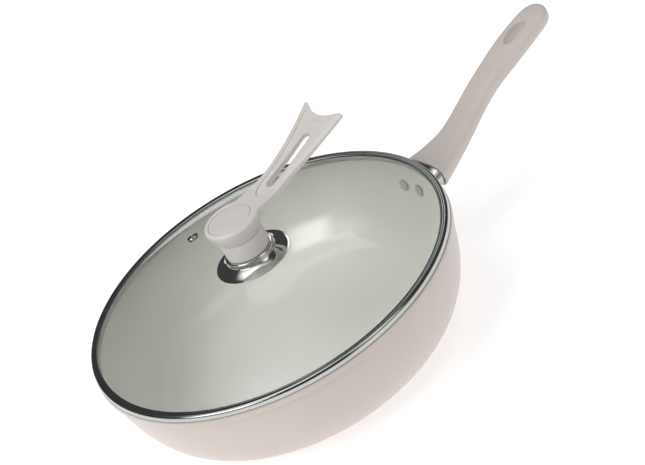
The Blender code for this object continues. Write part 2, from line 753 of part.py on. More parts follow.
def make_saucer(parts):
    """The chromed saucer under the neck, a thin pressing, and the seals on each side of the glass."""
    chrome = material("saucer_chrome", (0.72, 0.72, 0.71), 0.06, 1.0)
    rubber = material("seal_silicone", (0.55, 0.55, 0.52), 0.6)
    top = APEX + COLLAR_TOP
    wall_end = top - COLLAR_DEPTH
    brim = dome_height(SAUCER_RADIUS) + GAP
    shoulder = 2 * SAUCER_SHEET
    hole = SPIGOT_RADIUS + GAP
    outer = [(hole, top), (COLLAR_RADIUS - shoulder, top)]
    outer += [(COLLAR_RADIUS, top - shoulder), (COLLAR_RADIUS, wall_end)]
    for t in spread(0.0, 1.0, 7)[1:]:
        radius = COLLAR_RADIUS + (SAUCER_RADIUS - COLLAR_RADIUS) * t
        outer.append((radius, brim + SAUCER_SHEET + (wall_end - brim - SAUCER_SHEET) * (1 - t) ** 1.8))
    inner = [(radius - SAUCER_SHEET * 0.7, height - SAUCER_SHEET) for radius, height in outer[3:]]
    inner = [(hole, top - SAUCER_SHEET), (COLLAR_RADIUS - shoulder, top - SAUCER_SHEET)] + inner
    turned("knob_base", outer + list(reversed(inner)), chrome, parts, KNOB_SEGMENTS)
    seal_outer = COLLAR_RADIUS + 4 * MM
    seal_inner = COLLAR_RADIUS - 0.5 * MM
    turned(
        "knob_seal_upper",
        [
            (seal_inner, dome_height(seal_inner) + GAP + SEAL_THICKNESS / 2),
            (seal_outer, dome_height(seal_outer) + GAP + SEAL_THICKNESS / 2),
            (seal_outer, dome_height(seal_outer) + GAP),
            (seal_inner, dome_height(seal_inner) + GAP),
        ],
        rubber,
        parts,
        KNOB_SEGMENTS,
    )
    under = dome_height(SEAL_RADIUS) - GLASS_THICKNESS - GAP
    turned(
        "knob_seal_lower",
        [
            (SCREW_RADIUS + GAP, APEX - GAP),
            (GLASS_HOLE_RADIUS - GAP, APEX - GAP),
            (GLASS_HOLE_RADIUS - GAP, under),
            (SEAL_RADIUS, under),
            (SEAL_RADIUS, under - SEAL_THICKNESS),
            (SCREW_RADIUS + GAP, under - SEAL_THICKNESS),
        ],
        rubber,
        parts,
        KNOB_SEGMENTS,
    )
    return under - SEAL_THICKNESS


def make_knob_screw(bush_bottom, parts):
    steel = material("screw_steel", (0.66, 0.66, 0.65), 0.3, 1.0)
    washer_top = bush_bottom - GAP
    washer_bottom = washer_top - WASHER_THICKNESS
    turned(
        "knob_washer",
        [
            (SCREW_RADIUS + GAP, washer_top),
            (WASHER_RADIUS, washer_top),
            (WASHER_RADIUS, washer_bottom),
            (SCREW_RADIUS + GAP, washer_bottom),
        ],
        steel,
        parts,
        KNOB_SEGMENTS,
    )
    head_top = washer_bottom - GAP
    head_bottom = head_top - SCREW_HEAD_HEIGHT
    tip = head_top + SCREW_LENGTH
    turned(
        "knob_screw",
        [
            (0.0, tip),
            (SCREW_RADIUS * 0.8, tip),
            (SCREW_RADIUS, tip - SCREW_RADIUS / 3),
            (SCREW_RADIUS, head_top),
            (SCREW_HEAD_RADIUS, head_top),
            (SCREW_HEAD_RADIUS, head_top - SCREW_HEAD_HEIGHT * 0.5),
            (SCREW_HEAD_RADIUS * 0.75, head_bottom),
            (0.0, head_bottom),
        ],
        steel,
        parts,
        ring=False,
    )
    return tip


def make_neck(screw_tip, parts, cutters):
    """The neck stands on the saucer, and its spigot reaches through to the glass."""
    plastic = material("knob_plastic", (0.66, 0.60, 0.555), 0.42)
    brass = material("insert_brass", (0.78, 0.62, 0.32), 0.3, 1.0)
    foot = APEX + COLLAR_TOP + GAP
    top = APEX + NECK_TOP
    spigot_end = APEX + EDGE_ROUNDING
    bore_top = screw_tip + GAP + EDGE_ROUNDING
    edge = EDGE_ROUNDING / 2
    neck = turned(
        "knob_neck",
        [
            (0.0, top),
            (NECK_RADIUS, top),
            (NECK_RADIUS, foot + edge),
            (NECK_RADIUS - edge, foot),
            (SPIGOT_RADIUS, foot),
            (SPIGOT_RADIUS, spigot_end),
            (INSERT_RADIUS + GAP, spigot_end),
            (INSERT_RADIUS + GAP, bore_top),
            (0.0, bore_top),
        ],
        plastic,
        parts,
        KNOB_SEGMENTS,
        ring=False,
    )
    insert_low = bore_top - GAP - INSERT_LENGTH
    turned(
        "knob_insert",
        [
            (SCREW_RADIUS + GAP, bore_top - GAP),
            (INSERT_RADIUS, bore_top - GAP),
            (INSERT_RADIUS, insert_low),
            (SCREW_RADIUS + GAP, insert_low),
        ],
        brass,
        parts,
    )
    for side in (-1, 1):
        x = side * ARM_SCREW_SPACING / 2
        low = (x, 0, top - ARM_SCREW_BITE - GAP)
        high = (x, 0, top + PAST)
        hole = rod("arm_screw_bite", ARM_SCREW_RADIUS + GAP, low, high, None, cutters)
        boolean(neck, hole)
        hide(hole)


def arm_top(x):
    """Height of the arm's edges: level, one small step under the cap's top, then sweeping up to the fork."""
    rise = max(0.0, (x - ARM_BEND) / (ARM_REACH - ARM_BEND))
    return APEX + CAP_TOP - ARM_STEP + ARM_RISE * rise**ARM_RISE_POWER


def arm_half_width(x):
    """Half the arm's width, flaring from its root to the prongs."""
    share = (x - ARM_FLARE_START) / (ARM_REACH - ARM_FLARE_START)
    share = min(max(share, 0.0), 1.0)
    return blend(ARM_ROOT_HALF_WIDTH, ARM_TIP_HALF_WIDTH, share**ARM_FLARE_POWER)


def arm_face(x, across):
    """Height of the upper face, which stands a little proud between two crests (across is -1 to 1)."""
    grown = smooth(min(max((x - ARM_BEND) / ARM_CREST_RUN, 0.0), 1.0))
    outside = max(0.0, (abs(across) - ARM_CREST_SHARE) / (1 - ARM_CREST_SHARE))
    return arm_top(x) + ARM_CREST * grown * (1 - min(outside, 1.0) ** 2)


def arm_bottom(x, across):
    """Height of the arm's underside, which bellies down between its thin edges."""
    share = min(max((x - ARM_BEND) / (ARM_REACH - ARM_BEND), 0.0), 1.0)
    middle = blend(ARM_ROOT_THICKNESS, ARM_TIP_THICKNESS, share)
    edge = blend(ARM_ROOT_EDGE, ARM_TIP_EDGE, share)
    return arm_top(x) - blend(middle, edge, across * across)


def arm_outline(start):
    """Plan of the arm from a start to the fork, whose end is a hollow curve between two prongs."""
    half = arm_half_width(ARM_REACH)
    inner = half - PRONG_WIDTH
    shallow = PRONG_ROUNDING / 3
    notch = []
    for share in spread(-1.0, 1.0, 13):
        notch.append((ARM_REACH - shallow - NOTCH_DEPTH * (1 - share * share), share * inner))
    sides = [(x, arm_half_width(x)) for x in spread(start, ARM_REACH - 1.5 * PRONG_ROUNDING, 10)]
    right = [(x, -y) for x, y in sides]
    corner = (ARM_REACH - PRONG_ROUNDING * 0.55, half - PRONG_ROUNDING * 0.2)
    prong = [corner, (ARM_REACH, half - PRONG_ROUNDING)]
    right_prong = [(x, -y) for x, y in prong]
    left_prong = list(reversed(prong))
    return right + right_prong + notch + left_prong + list(reversed(sides))


def side_form(name, start, end, top, bottom, collection):
    """A form wider than the knob whose top and bottom follow curves along x and across."""
    half = 2 * ARM_TIP_HALF_WIDTH
    rings = []
    for x in spread(start, end, 16):
        width = arm_half_width(x) + GAP
        ring = [(x, half, top(x, 1.0))]
        ring += [(x, across * width, top(x, across)) for across in spread(1.0, -1.0, 12)]
        ring += [(x, -half, top(x, 1.0)), (x, -half, bottom(x, 1.0))]
        ring += [(x, across * width, bottom(x, across)) for across in spread(-1.0, 1.0, 8)]
        ring.append((x, half, bottom(x, 1.0)))
        rings.append(ring)
    return lofted(name, rings, None, collection)


def oval(centre, half_length, half_width, count=32):
    outline = []
    for i in range(count):
        angle = 2 * math.pi * i / count
        outline.append((centre + half_length * math.cos(angle), half_width * math.sin(angle)))
    return outline


def make_arm(parts, cutters):
    """Cap and arm in one moulding: it stands on the neck and reaches out to the fork."""
    plastic = material("arm_plastic", (0.68, 0.62, 0.58), 0.42)
    seam = APEX + NECK_TOP + GAP
    top = APEX + CAP_TOP
    # Share of the cap's height, and how far its side has spread from the neck to its full width.
    stages = [(0.0, 0.0), (0.15, 0.04), (0.40, 0.30), (0.65, 0.78), (0.80, 1.0), (0.93, 1.0), (1.0, 0.92)]
    rings = []
    for level, flare in stages:
        length = blend(NECK_RADIUS, CAP_HALF_LENGTH, flare)
        width = blend(NECK_RADIUS, CAP_HALF_WIDTH, flare)
        rings.append([(x, y, blend(seam, top, level)) for x, y in oval(0.0, length, width)])
    arm = lofted("knob_arm", rings, plastic, parts)

    start = NECK_RADIUS * 0.45
    plan = prism("arm_plan", arm_outline(start), seam, top + 2 * ARM_RISE, None, cutters)
    side = side_form("arm_side", start - PAST, ARM_REACH + PAST, arm_face, arm_bottom, cutters)
    boolean(plan, side, "INTERSECT")
    boolean(arm, plan, "UNION")

    high = top + 3 * ARM_RISE
    trough_plan = prism("trough_plan", trough_outline(), seam, high, None, cutters)
    trough_side = side_form(
        "trough_side",
        0.0,
        ARM_REACH + PAST,
        lambda x, across: arm_top(x) + 2 * PAST,
        lambda x, across: arm_face(x, 0.0) - TROUGH_DEPTH,
        cutters,
    )
    boolean(trough_plan, trough_side, "INTERSECT")
    boolean(arm, trough_plan)

    slot = prism("arm_slot", slot_outline(), seam - PAST, high, None, cutters)
    boolean(arm, slot)

    pocket_floor = top - COVER_THICKNESS - GAP
    pocket = prism(
        "cover_pocket",
        oval(COVER_CENTRE, COVER_HALF_LENGTH + GAP, COVER_HALF_WIDTH + GAP),
        pocket_floor,
        top + PAST,
        None,
        cutters,
    )
    boolean(arm, pocket)
    cover_levels = [(pocket_floor + GAP, 1.0), (top - COVER_SINK, 1.0)]
    for turn in spread(0.0, math.pi / 2, 6)[1:-1]:
        cover_levels.append((top - COVER_SINK + COVER_CROWN * math.sin(turn), math.cos(turn)))
    cover_rings = []
    for height, scale in cover_levels:
        outline = oval(COVER_CENTRE, COVER_HALF_LENGTH * scale, COVER_HALF_WIDTH * scale)
        cover_rings.append([(x, y, height) for x, y in outline])
    cover_finish = material("cover_plastic", (0.64, 0.585, 0.545), 0.45)
    lofted("knob_cover", cover_rings, cover_finish, parts)
    make_arm_screws(arm, pocket_floor, parts, cutters)
    hide(plan, side, trough_plan, trough_side, slot, pocket)


def trough_outline():
    """The shallow trough starts rounded near the cap and follows the arm's edges to the fork."""
    tip = ARM_REACH - TROUGH_INSET * 0.8
    run_in = 12 * MM
    sides = []
    for x in spread(TROUGH_START, tip - PRONG_WIDTH, 14):
        ease = min(1.0, (x - TROUGH_START + GAP) / run_in)
        sides.append((x, (arm_half_width(x) - TROUGH_INSET) * math.sqrt(1 - (1 - ease) ** 2)))
    right = [(x, -y) for x, y in sides]
    inner = sides[-1][1] - PRONG_WIDTH / 4
    notch = [(tip - NOTCH_DEPTH * (1 - share * share), share * inner) for share in spread(-1.0, 1.0, 11)]
    return right + notch + list(reversed(sides))


def slot_outline():
    """A long slot with round ends."""
    half = ARM_SLOT_WIDTH / 2
    low = ARM_SLOT_START + half
    high = ARM_SLOT_START + ARM_SLOT_LENGTH - half
    outline = []
    for angle in spread(-math.pi / 2, math.pi / 2, 9):
        outline.append((high + half * math.cos(angle), half * math.sin(angle)))
    for angle in spread(math.pi / 2, 3 * math.pi / 2, 9):
        outline.append((low + half * math.cos(angle), half * math.sin(angle)))
    return outline


def make_arm_screws(arm, pocket_floor, parts, cutters):
    """Two screws under the cover hold the arm's moulding down on the neck."""
    zinc = material("arm_screw_steel", (0.66, 0.66, 0.64), 0.35, 1.0)
    neck_top = APEX + NECK_TOP
    seat = neck_top + ARM_SCREW_WALL
    for side, name in ((-1, "arm_screw_back"), (1, "arm_screw_front")):
        x = side * ARM_SCREW_SPACING / 2
        head_low = seat + GAP
        head_top = head_low + ARM_SCREW_HEAD_HEIGHT
        tip = neck_top - ARM_SCREW_BITE
        screw = turned(
            name,
            [
                (0.0, head_top),
                (ARM_SCREW_HEAD_RADIUS * 0.75, head_top),
                (ARM_SCREW_HEAD_RADIUS, head_low + ARM_SCREW_HEAD_HEIGHT * 0.4),
                (ARM_SCREW_HEAD_RADIUS, head_low),
                (ARM_SCREW_RADIUS, head_low),
                (ARM_SCREW_RADIUS, tip + ARM_SCREW_RADIUS),
                (ARM_SCREW_RADIUS / 4, tip),
                (0.0, tip),
            ],
            zinc,
            parts,
            ring=False,
        )
        screw.location = (x, 0, 0)
        seat_low = (x, 0, seat)
        shank_low = (x, 0, neck_top - PAST)
        high = (x, 0, pocket_floor + PAST)
        shank = rod(name + "_hole", ARM_SCREW_RADIUS + GAP, shank_low, high, None, cutters)
        head = rod(name + "_seat", ARM_SCREW_HEAD_RADIUS + GAP, seat_low, high, None, cutters)
        boolean(arm, shank)
        boolean(arm, head)
        hide(shank, head)


def main():
    for old in list(bpy.data.objects):
        bpy.data.objects.remove(old)
    parts = bpy.data.collections.new("pan_with_glass_lid")
    cutters = bpy.data.collections.new("cutters")
    bpy.context.scene.collection.children.link(parts)
    bpy.context.scene.collection.children.link(cutters)

    pan, clear = make_pan(parts, cutters)
    make_fixing(pan, clear, parts, cutters)
    make_handle(clear, parts, cutters)
    make_lid(parts, cutters)
    bush_bottom = make_saucer(parts)
    screw_tip = make_knob_screw(bush_bottom, parts)
    make_neck(screw_tip, parts, cutters)
    make_arm(parts, cutters)


main()
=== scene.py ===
import math

import bmesh
import bpy
from mathutils import Matrix, Vector


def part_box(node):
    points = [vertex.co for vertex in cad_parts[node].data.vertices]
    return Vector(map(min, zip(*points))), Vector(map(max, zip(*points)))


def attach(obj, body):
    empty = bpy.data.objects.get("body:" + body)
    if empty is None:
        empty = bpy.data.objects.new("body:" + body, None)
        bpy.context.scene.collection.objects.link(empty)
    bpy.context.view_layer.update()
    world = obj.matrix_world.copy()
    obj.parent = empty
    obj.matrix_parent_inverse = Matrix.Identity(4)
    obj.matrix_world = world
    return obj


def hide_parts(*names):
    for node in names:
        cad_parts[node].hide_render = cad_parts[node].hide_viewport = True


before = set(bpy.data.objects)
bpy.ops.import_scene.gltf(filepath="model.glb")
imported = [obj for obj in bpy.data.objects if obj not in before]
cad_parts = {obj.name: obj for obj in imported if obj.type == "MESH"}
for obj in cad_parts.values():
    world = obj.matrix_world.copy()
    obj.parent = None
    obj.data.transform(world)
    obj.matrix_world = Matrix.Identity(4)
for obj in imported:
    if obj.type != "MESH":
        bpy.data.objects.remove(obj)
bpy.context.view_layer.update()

MM = 0.001
TURNS = 192
SMALL_TURNS = 64

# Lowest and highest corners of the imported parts
pan_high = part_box("pan_body")[1]
plate_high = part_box("base_plate")[1]
band_low, band_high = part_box("lid_band")
glass_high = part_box("lid_glass")[1]
saucer_low, saucer_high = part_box("knob_base")
neck_low, neck_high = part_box("knob_neck")
arm_low, arm_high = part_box("knob_arm")
cover_low, cover_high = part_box("knob_cover")
handle_low, handle_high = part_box("handle")
guard_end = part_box("flame_guard")[1].x
vent_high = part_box("vent_grommet")[1]
washer_low, washer_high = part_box("knob_washer")
screw_low, screw_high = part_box("knob_screw")

GAP = 0.3 * MM

# Pan
RIM_RADIUS = pan_high.x
PAN_TOP = pan_high.z
LIP_HEIGHT = 5.4 * MM
LIP_STEP = 2.8 * MM
LIP_WIDTH = 5.1 * MM
WALL = 3.0 * MM
FLOOR = 4.5 * MM
BASE_RADIUS = 88.0 * MM
CURVE_CENTRE = 55.0 * MM
CORNER_UP = 1.59
CORNER_OUT = 4.68
PLATE_RADIUS = plate_high.x
RIVET_HEIGHT = PAN_TOP - 22.6 * MM
RIVET_SPACING = 20.0 * MM
RIVET_HEAD = 4.7 * MM
RIVET_SHANK = 2.5 * MM
RIVET_TAIL = 4.0 * MM
RIVET_REACH = WALL + 4.6 * MM

# Handle and its guard
HANDLE_START = handle_low.x
HANDLE_LENGTH = handle_high.x - handle_low.x
HANDLE_BASE_HEIGHT = PAN_TOP - 19.6 * MM
HANDLE_RISE = 42.0 * MM
HANDLE_NOSE = 14.0 * MM
HANDLE_SQUARENESS = 3.0
HOLE_LENGTH = 24.0 * MM
HOLE_WIDTH = 13.0 * MM
HOLE_FROM_END = 43.0 * MM
HOLE_EGG = 0.16
GUARD_RIM = 2.2 * MM
GUARD_SHEET = 0.8 * MM

# Lid
BAND_RADIUS = band_high.x
BAND_TOP = band_high.z
BAND_BOTTOM = PAN_TOP + GAP
BAND_SHEET = 0.5 * MM
BAND_FLANGE = 6.4 * MM
GLASS_RADIUS = glass_high.x
GLASS_THICKNESS = 3.2 * MM
GLASS_HOLE = 5.2 * MM
APEX = glass_high.z
GLASS_TOP = BAND_TOP - BAND_SHEET - GAP
DOME_RADIUS = BAND_RADIUS - BAND_FLANGE - GAP
DOME_RISE = APEX - GLASS_TOP
DOME_SPHERE = (DOME_RADIUS**2 + DOME_RISE**2) / (2 * DOME_RISE)
VENT_DISTANCE = 97.0 * MM
VENT_HOLE = 1.6 * MM
VENT_SLEEVE = 3.6 * MM

# Knob and its arm
SPIGOT = 7.5 * MM
COLLAR_RADIUS = 20.0 * MM
COLLAR_DEPTH = 4.2 * MM
SAUCER_SHEET = 0.8 * MM
NECK_RADIUS = 17.8 * MM
ARM_REACH = arm_high.x
CAP_LENGTH = -arm_low.x
CAP_HALF_WIDTH = NECK_RADIUS + 4.5 * MM
CAP_TOP = neck_high.z + 14.9 * MM
BOWL_SHARE = 0.86
BOWL_CURL = 1.6 * MM
COVER_EDGE = CAP_TOP - 0.35 * MM
ARM_BEND = 28.0 * MM
ARM_RISE = 20.2 * MM
ARM_RISE_POWER = 1.45
ARM_FLARE_START = 48.0 * MM
ARM_FLARE_POWER = 1.45
ARM_ROOT = NECK_RADIUS - 3.4 * MM
ARM_TIP = arm_high.y
ARM_CREST = 1.2 * MM
ARM_CREST_SHARE = 0.66
ARM_CREST_RUN = 25.0 * MM
ARM_MIDDLE = (5.6 * MM, 4.0 * MM)
ARM_EDGE = (4.6 * MM, 2.4 * MM)
ARM_FILLET = 3.0 * MM
SLOT_START = 38.0 * MM
SLOT_LENGTH = 50.0 * MM
SLOT_WIDTH = 9.0 * MM
NOTCH_DEPTH = 6.4 * MM
PRONG_WIDTH = 4.0 * MM
TROUGH_DEPTH = 1.5 * MM
TROUGH_INSET = 5.6 * MM
TROUGH_START = 27.0 * MM
TROUGH_ROOT = 13.0 * MM
SCREW_HOLE = 2.8 * MM
SCREW_SHANK = 2.5 * MM
CROSS_LENGTH = 5.4 * MM
CROSS_WIDTH = 1.1 * MM
CROSS_DEPTH = 1.6 * MM


# ---------------------------------------------------------------- finishes


class Value:
    """A number that a material's nodes work out, so that finishes can be written as sums."""

    def __init__(self, finish, socket):
        self.finish = finish
        self.socket = socket

    def maths(self, operation, *terms):
        return self.finish.node("ShaderNodeMath", {"operation": operation}, dict(enumerate(terms)))

    def __add__(self, other):
        return self.maths("ADD", self, other)

    def __sub__(self, other):
        return self.maths("SUBTRACT", self, other)

    def __rsub__(self, other):
        return self.maths("SUBTRACT", other, self)

    def __mul__(self, other):
        return self.maths("MULTIPLY", self, other)

    def __pow__(self, other):
        return self.maths("POWER", self, other)

    def __rpow__(self, other):
        return self.maths("POWER", other, self)

    __radd__ = __add__
    __rmul__ = __mul__


class Nodes:
    """The nodes of one finish or lamp."""

    def __init__(self, tree):
        self.tree = tree

    def node(self, kind, settings, inputs, output=0):
        """Adds a node with its settings, then its inputs, and gives back one of its outputs."""
        made = self.tree.nodes.new(kind)
        for name, value in settings.items():
            setattr(made, name, value)
        for name, value in inputs.items():
            if isinstance(value, Value):
                self.tree.links.new(value.socket, made.inputs[name])
            else:
                made.inputs[name].default_value = value
        return Value(self, made.outputs[output])

    def ramp(self, value, low, high):
        """Runs from 0 at low to 1 at high."""
        return self.node(
            "ShaderNodeMapRange",
            {"interpolation_type": "SMOOTHSTEP"},
            {"Value": value, "From Min": low, "From Max": high},
        )


class Finish(Nodes):
    """One finish: a Principled shader and the nodes that feed it."""

    def __init__(self, name, colour, **settings):
        self.material = bpy.data.materials.new(name)
        self.material.use_nodes = True
        super().__init__(self.material.node_tree)
        self.shader = self.tree.nodes["Principled BSDF"]
        self.shader.inputs["Base Color"].default_value = (*colour, 1.0)
        for socket, value in settings.items():
            self.shader.inputs[socket.replace("_", " ")].default_value = value

    def place(self):
        """Where a point of the piece is, in metres."""
        return self.node("ShaderNodeTexCoord", {}, {}, "Object")

    def stretched(self, scale):
        return self.node("ShaderNodeMapping", {}, {"Vector": self.place(), "Scale": scale})

    def noise(self, vector, scale, detail=3.0, rough=0.5):
        inputs = {"Vector": vector, "Scale": scale, "Detail": detail, "Roughness": rough}
        return self.node("ShaderNodeTexNoise", {}, inputs)

    def blend(self, share, first, second):
        """One colour turning into another."""
        inputs = {"Factor": share, 6: (*first, 1.0), 7: (*second, 1.0)}
        return self.node("ShaderNodeMix", {"data_type": "RGBA"}, inputs, 2)

    def round_axis(self):
        """Distance from the upright axis, angle round it, and height, for turned pieces."""
        place = self.place()
        parts = [self.node("ShaderNodeSeparateXYZ", {}, {"Vector": place}, axis) for axis in "XYZ"]
        radius = (parts[0] * parts[0] + parts[1] * parts[1]) ** 0.5
        angle = self.node("ShaderNodeMath", {"operation": "ARCTAN2"}, {0: parts[1], 1: parts[0]})
        return radius, angle, parts[2]

    def drive(self, **sockets):
        for socket, value in sockets.items():
            self.tree.links.new(value.socket, self.shader.inputs[socket.replace("_", " ")])
        return self

    def bump(self, height, distance, strength=1.0):
        normal = self.node(
            "ShaderNodeBump", {}, {"Height": height, "Distance": distance, "Strength": strength}
        )
        return self.drive(Normal=normal)


def coating(name, light, dark, rough, coat=0.25):
    """A fired ceramic coating: a fine sprayed skin with a faint cloudiness."""
    finish = Finish(name, light, Coat_Weight=coat, Coat_Roughness=0.18, Specular_IOR_Level=0.45)
    clouds = finish.noise(finish.place(), 14.0, 4.0, 0.55)
    grain = finish.noise(finish.place(), 900.0, 2.0, 0.6)
    share = finish.ramp(clouds * 0.8 + grain * 0.2, 0.3, 0.7)
    finish.drive(Base_Color=finish.blend(share, dark, light))
    finish.drive(Roughness=clouds * 0.05 + grain * 0.04 + (rough - 0.045))
    peel = finish.noise(finish.place(), 420.0, 2.0, 0.45)
    return finish.bump(peel + grain * 0.3, 0.04 * MM, 0.35)


def moulded(name, light, dark, rough, texture=0.05):
    """A moulded plastic with the fine sparked texture of its tool."""
    finish = Finish(name, light, Specular_IOR_Level=0.42)
    clouds = finish.noise(finish.place(), 30.0, 3.0, 0.5)
    spark = finish.noise(finish.place(), 1900.0, 2.0, 0.7)
    share = finish.ramp(clouds * 0.75 + spark * 0.25, 0.32, 0.68)
    finish.drive(Base_Color=finish.blend(share, dark, light))
    finish.drive(Roughness=spark * 0.08 + clouds * 0.06 + (rough - 0.07))
    return finish.bump(spark, texture * MM, 0.5)


def turned_steel(name, light, dark, rough, line=0.01):
    """Stainless steel with the fine lines that turning and rolling leave round the axis."""
    finish = Finish(name, light, Metallic=1.0)
    radius, angle, height = finish.round_axis()
    lines = finish.node(
        "ShaderNodeCombineXYZ", {}, {"X": radius * 2600.0, "Y": height * 2600.0, "Z": angle * 0.7}
    )
    streak = finish.noise(lines, 1.0, 3.0, 0.6)
    smudge = finish.noise(finish.place(), 26.0, 3.0, 0.55)
    share = finish.ramp(streak * 0.7 + smudge * 0.3, 0.3, 0.7)
    finish.drive(Base_Color=finish.blend(share, dark, light))
    finish.drive(Roughness=streak * 0.12 + smudge * 0.08 + (rough - 0.1))
    return finish.bump(streak, line * MM, 0.6)


def polished_metal(name, light, dark, rough, smear=0.06):
    """A polished metal with faint haze and finger smears."""
    finish = Finish(name, light, Metallic=1.0)
    smudge = finish.noise(finish.place(), 45.0, 4.0, 0.6)
    haze = finish.noise(finish.stretched((400.0, 60.0, 60.0)), 1.0, 2.0, 0.5)
    finish.drive(Base_Color=finish.blend(finish.ramp(smudge, 0.35, 0.7), light, dark))
    finish.drive(Roughness=finish.ramp(smudge, 0.5, 0.8) * smear + haze * 0.02 + rough)
    return finish.bump(haze, 0.004 * MM, 0.3)


def rubbed(name, light, dark, rough):
    """Matt silicone rubber."""
    finish = Finish(name, light, Specular_IOR_Level=0.35)
    grain = finish.noise(finish.place(), 700.0, 3.0, 0.6)
    finish.drive(Base_Color=finish.blend(finish.ramp(grain, 0.3, 0.7), dark, light))
    finish.drive(Roughness=grain * 0.1 + (rough - 0.05))
    return finish.bump(grain, 0.05 * MM, 0.4)


def cast_metal(name, light, dark, rough):
    """Die-cast metal with its grainy skin."""
    finish = Finish(name, light, Metallic=1.0)
    grain = finish.noise(finish.place(), 500.0, 4.0, 0.65)
    finish.drive(Base_Color=finish.blend(finish.ramp(grain, 0.35, 0.65), dark, light))
    finish.drive(Roughness=grain * 0.2 + (rough - 0.1))
    return finish.bump(grain, 0.1 * MM, 0.5)


def plate_steel():
    """The base plate: spun steel with rings of tool lines and a little wear from the hob."""
    finish = Finish("base_plate_steel", (0.5, 0.5, 0.49), Metallic=1.0)
    radius, angle, _ = finish.round_axis()
    rings = finish.node("ShaderNodeMath", {"operation": "SINE"}, {0: radius * 7000.0})
    lines = finish.node("ShaderNodeCombineXYZ", {}, {"X": radius * 3000.0, "Y": angle * 2.0, "Z": 0.0})
    streak = finish.noise(lines, 1.0, 4.0, 0.65)
    worn = finish.noise(finish.place(), 18.0, 5.0, 0.6)
    share = finish.ramp(streak * 0.6 + worn * 0.4, 0.3, 0.7)
    finish.drive(Base_Color=finish.blend(share, (0.36, 0.36, 0.35), (0.58, 0.58, 0.57)))
    finish.drive(Roughness=streak * 0.14 + worn * 0.12 + 0.22)
    return finish.bump(rings * 0.35 + streak, 0.02 * MM, 0.7)


def clear_glass():
    """Clear tempered glass, a little green, which lets the lamps through to what is under it."""
    finish = Finish(
        "lid_glass_clear", (0.98, 0.988, 0.982), Roughness=0.02, IOR=1.5, Transmission_Weight=1.0
    )
    wave = finish.noise(finish.place(), 9.0, 2.0, 0.4)
    finish.bump(wave, 0.6 * MM, 0.05)
    lamp = finish.node("ShaderNodeLightPath", {}, {}, "Is Shadow Ray")
    clear = finish.node("ShaderNodeBsdfTransparent", {}, {"Color": (0.975, 0.98, 0.975, 1.0)})
    shown = finish.node(
        "ShaderNodeMixShader", {}, {0: lamp, 1: Value(finish, finish.shader.outputs[0]), 2: clear}
    )
    output = finish.tree.nodes["Material Output"]
    finish.tree.links.new(shown.socket, output.inputs["Surface"])
    return finish


OUTSIDE = coating("pan_coat_outside", (0.645, 0.572, 0.528), (0.62, 0.545, 0.502), 0.36)
INSIDE = coating("pan_coat_inside", (0.75, 0.762, 0.70), (0.73, 0.742, 0.68), 0.3)
RIVET = coating("rivet_coat", (0.50, 0.508, 0.455), (0.47, 0.478, 0.427), 0.34)
SOFT = moulded("handle_soft", (0.70, 0.633, 0.585), (0.675, 0.608, 0.56), 0.5)
KNOB = moulded("knob_moulding", (0.785, 0.742, 0.705), (0.75, 0.703, 0.665), 0.4)
COVER = moulded("cover_moulding", (0.76, 0.715, 0.677), (0.74, 0.69, 0.652), 0.42)
BAND = turned_steel("lid_band_steel", (0.58, 0.585, 0.565), (0.40, 0.41, 0.39), 0.15)
WASHER = turned_steel("washer_steel", (0.68, 0.68, 0.67), (0.5, 0.5, 0.49), 0.3)
CHROME = polished_metal("saucer_chrome_mirror", (0.74, 0.73, 0.715), (0.66, 0.65, 0.635), 0.035)
GUARD = polished_metal("guard_polished", (0.54, 0.54, 0.53), (0.45, 0.45, 0.44), 0.12)
SEAL = rubbed("seal_rubber", (0.60, 0.60, 0.57), (0.52, 0.52, 0.49), 0.6)
BRACKET = cast_metal("bracket_casting", (0.6, 0.6, 0.6), (0.45, 0.45, 0.45), 0.45)
BRASS = turned_steel("insert_turned_brass", (0.80, 0.62, 0.30), (0.62, 0.46, 0.2), 0.3)
PLATE = plate_steel()
GLASS = clear_glass()


# ---------------------------------------------------------------- making pieces


def piece(name, shape, finishes, body, replaced=(), smooth_angle=50.0):
    """Puts a finished shape in the scene as one piece of a body."""
    mesh = bpy.data.meshes.new(name)
    shape.to_mesh(mesh)
    shape.free()
    made = bpy.data.objects.new(name, mesh)
    bpy.context.scene.collection.objects.link(made)
    for finish in finishes:
        mesh.materials.append(finish.material)
    mesh.shade_smooth()
    mesh.set_sharp_from_angle(angle=math.radians(smooth_angle))
    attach(made, body)
    if replaced:
        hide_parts(*replaced)
    return made


def closed_up(shape):
    """Joins the seam and the poles, and turns every face outwards."""
    bmesh.ops.remove_doubles(shape, verts=shape.verts, dist=0.5e-6)
    bmesh.ops.recalc_face_normals(shape, faces=shape.faces)


def spun(profile, turns=TURNS, ring=False):
    """Spins a profile of (radius, height, rounding) points round the upright axis."""
    shape = bmesh.new()
    points = [shape.verts.new((radius, 0, height)) for radius, height, _ in profile]
    pairs = list(zip(points, points[1:]))
    if ring:
        pairs.append((points[-1], points[0]))
    edges = [shape.edges.new(pair) for pair in pairs]
    bmesh.ops.spin(
        shape,
        geom=points + edges,
        cent=(0, 0, 0),
        axis=(0, 0, 1),
        angle=2 * math.pi,
        steps=turns,
        use_merge=True,
    )
    closed_up(shape)
    for radius, height, rounding in profile:
        if rounding > 0:
            ease_ring(shape, radius, height, rounding)
    return shape


def ease_ring(shape, radius, height, rounding):
    """Rounds the corner that runs round the axis at this radius and height."""
    near = 0.02 * MM

    def on_ring(vert):
        return abs(vert.co.z - height) < near and abs(vert.co.xy.length - radius) < near

    edges = [edge for edge in shape.edges if all(map(on_ring, edge.verts))]
    bmesh.ops.bevel(
        shape, geom=edges, offset=rounding, segments=4, profile=0.5, affect="EDGES", material=-1
    )


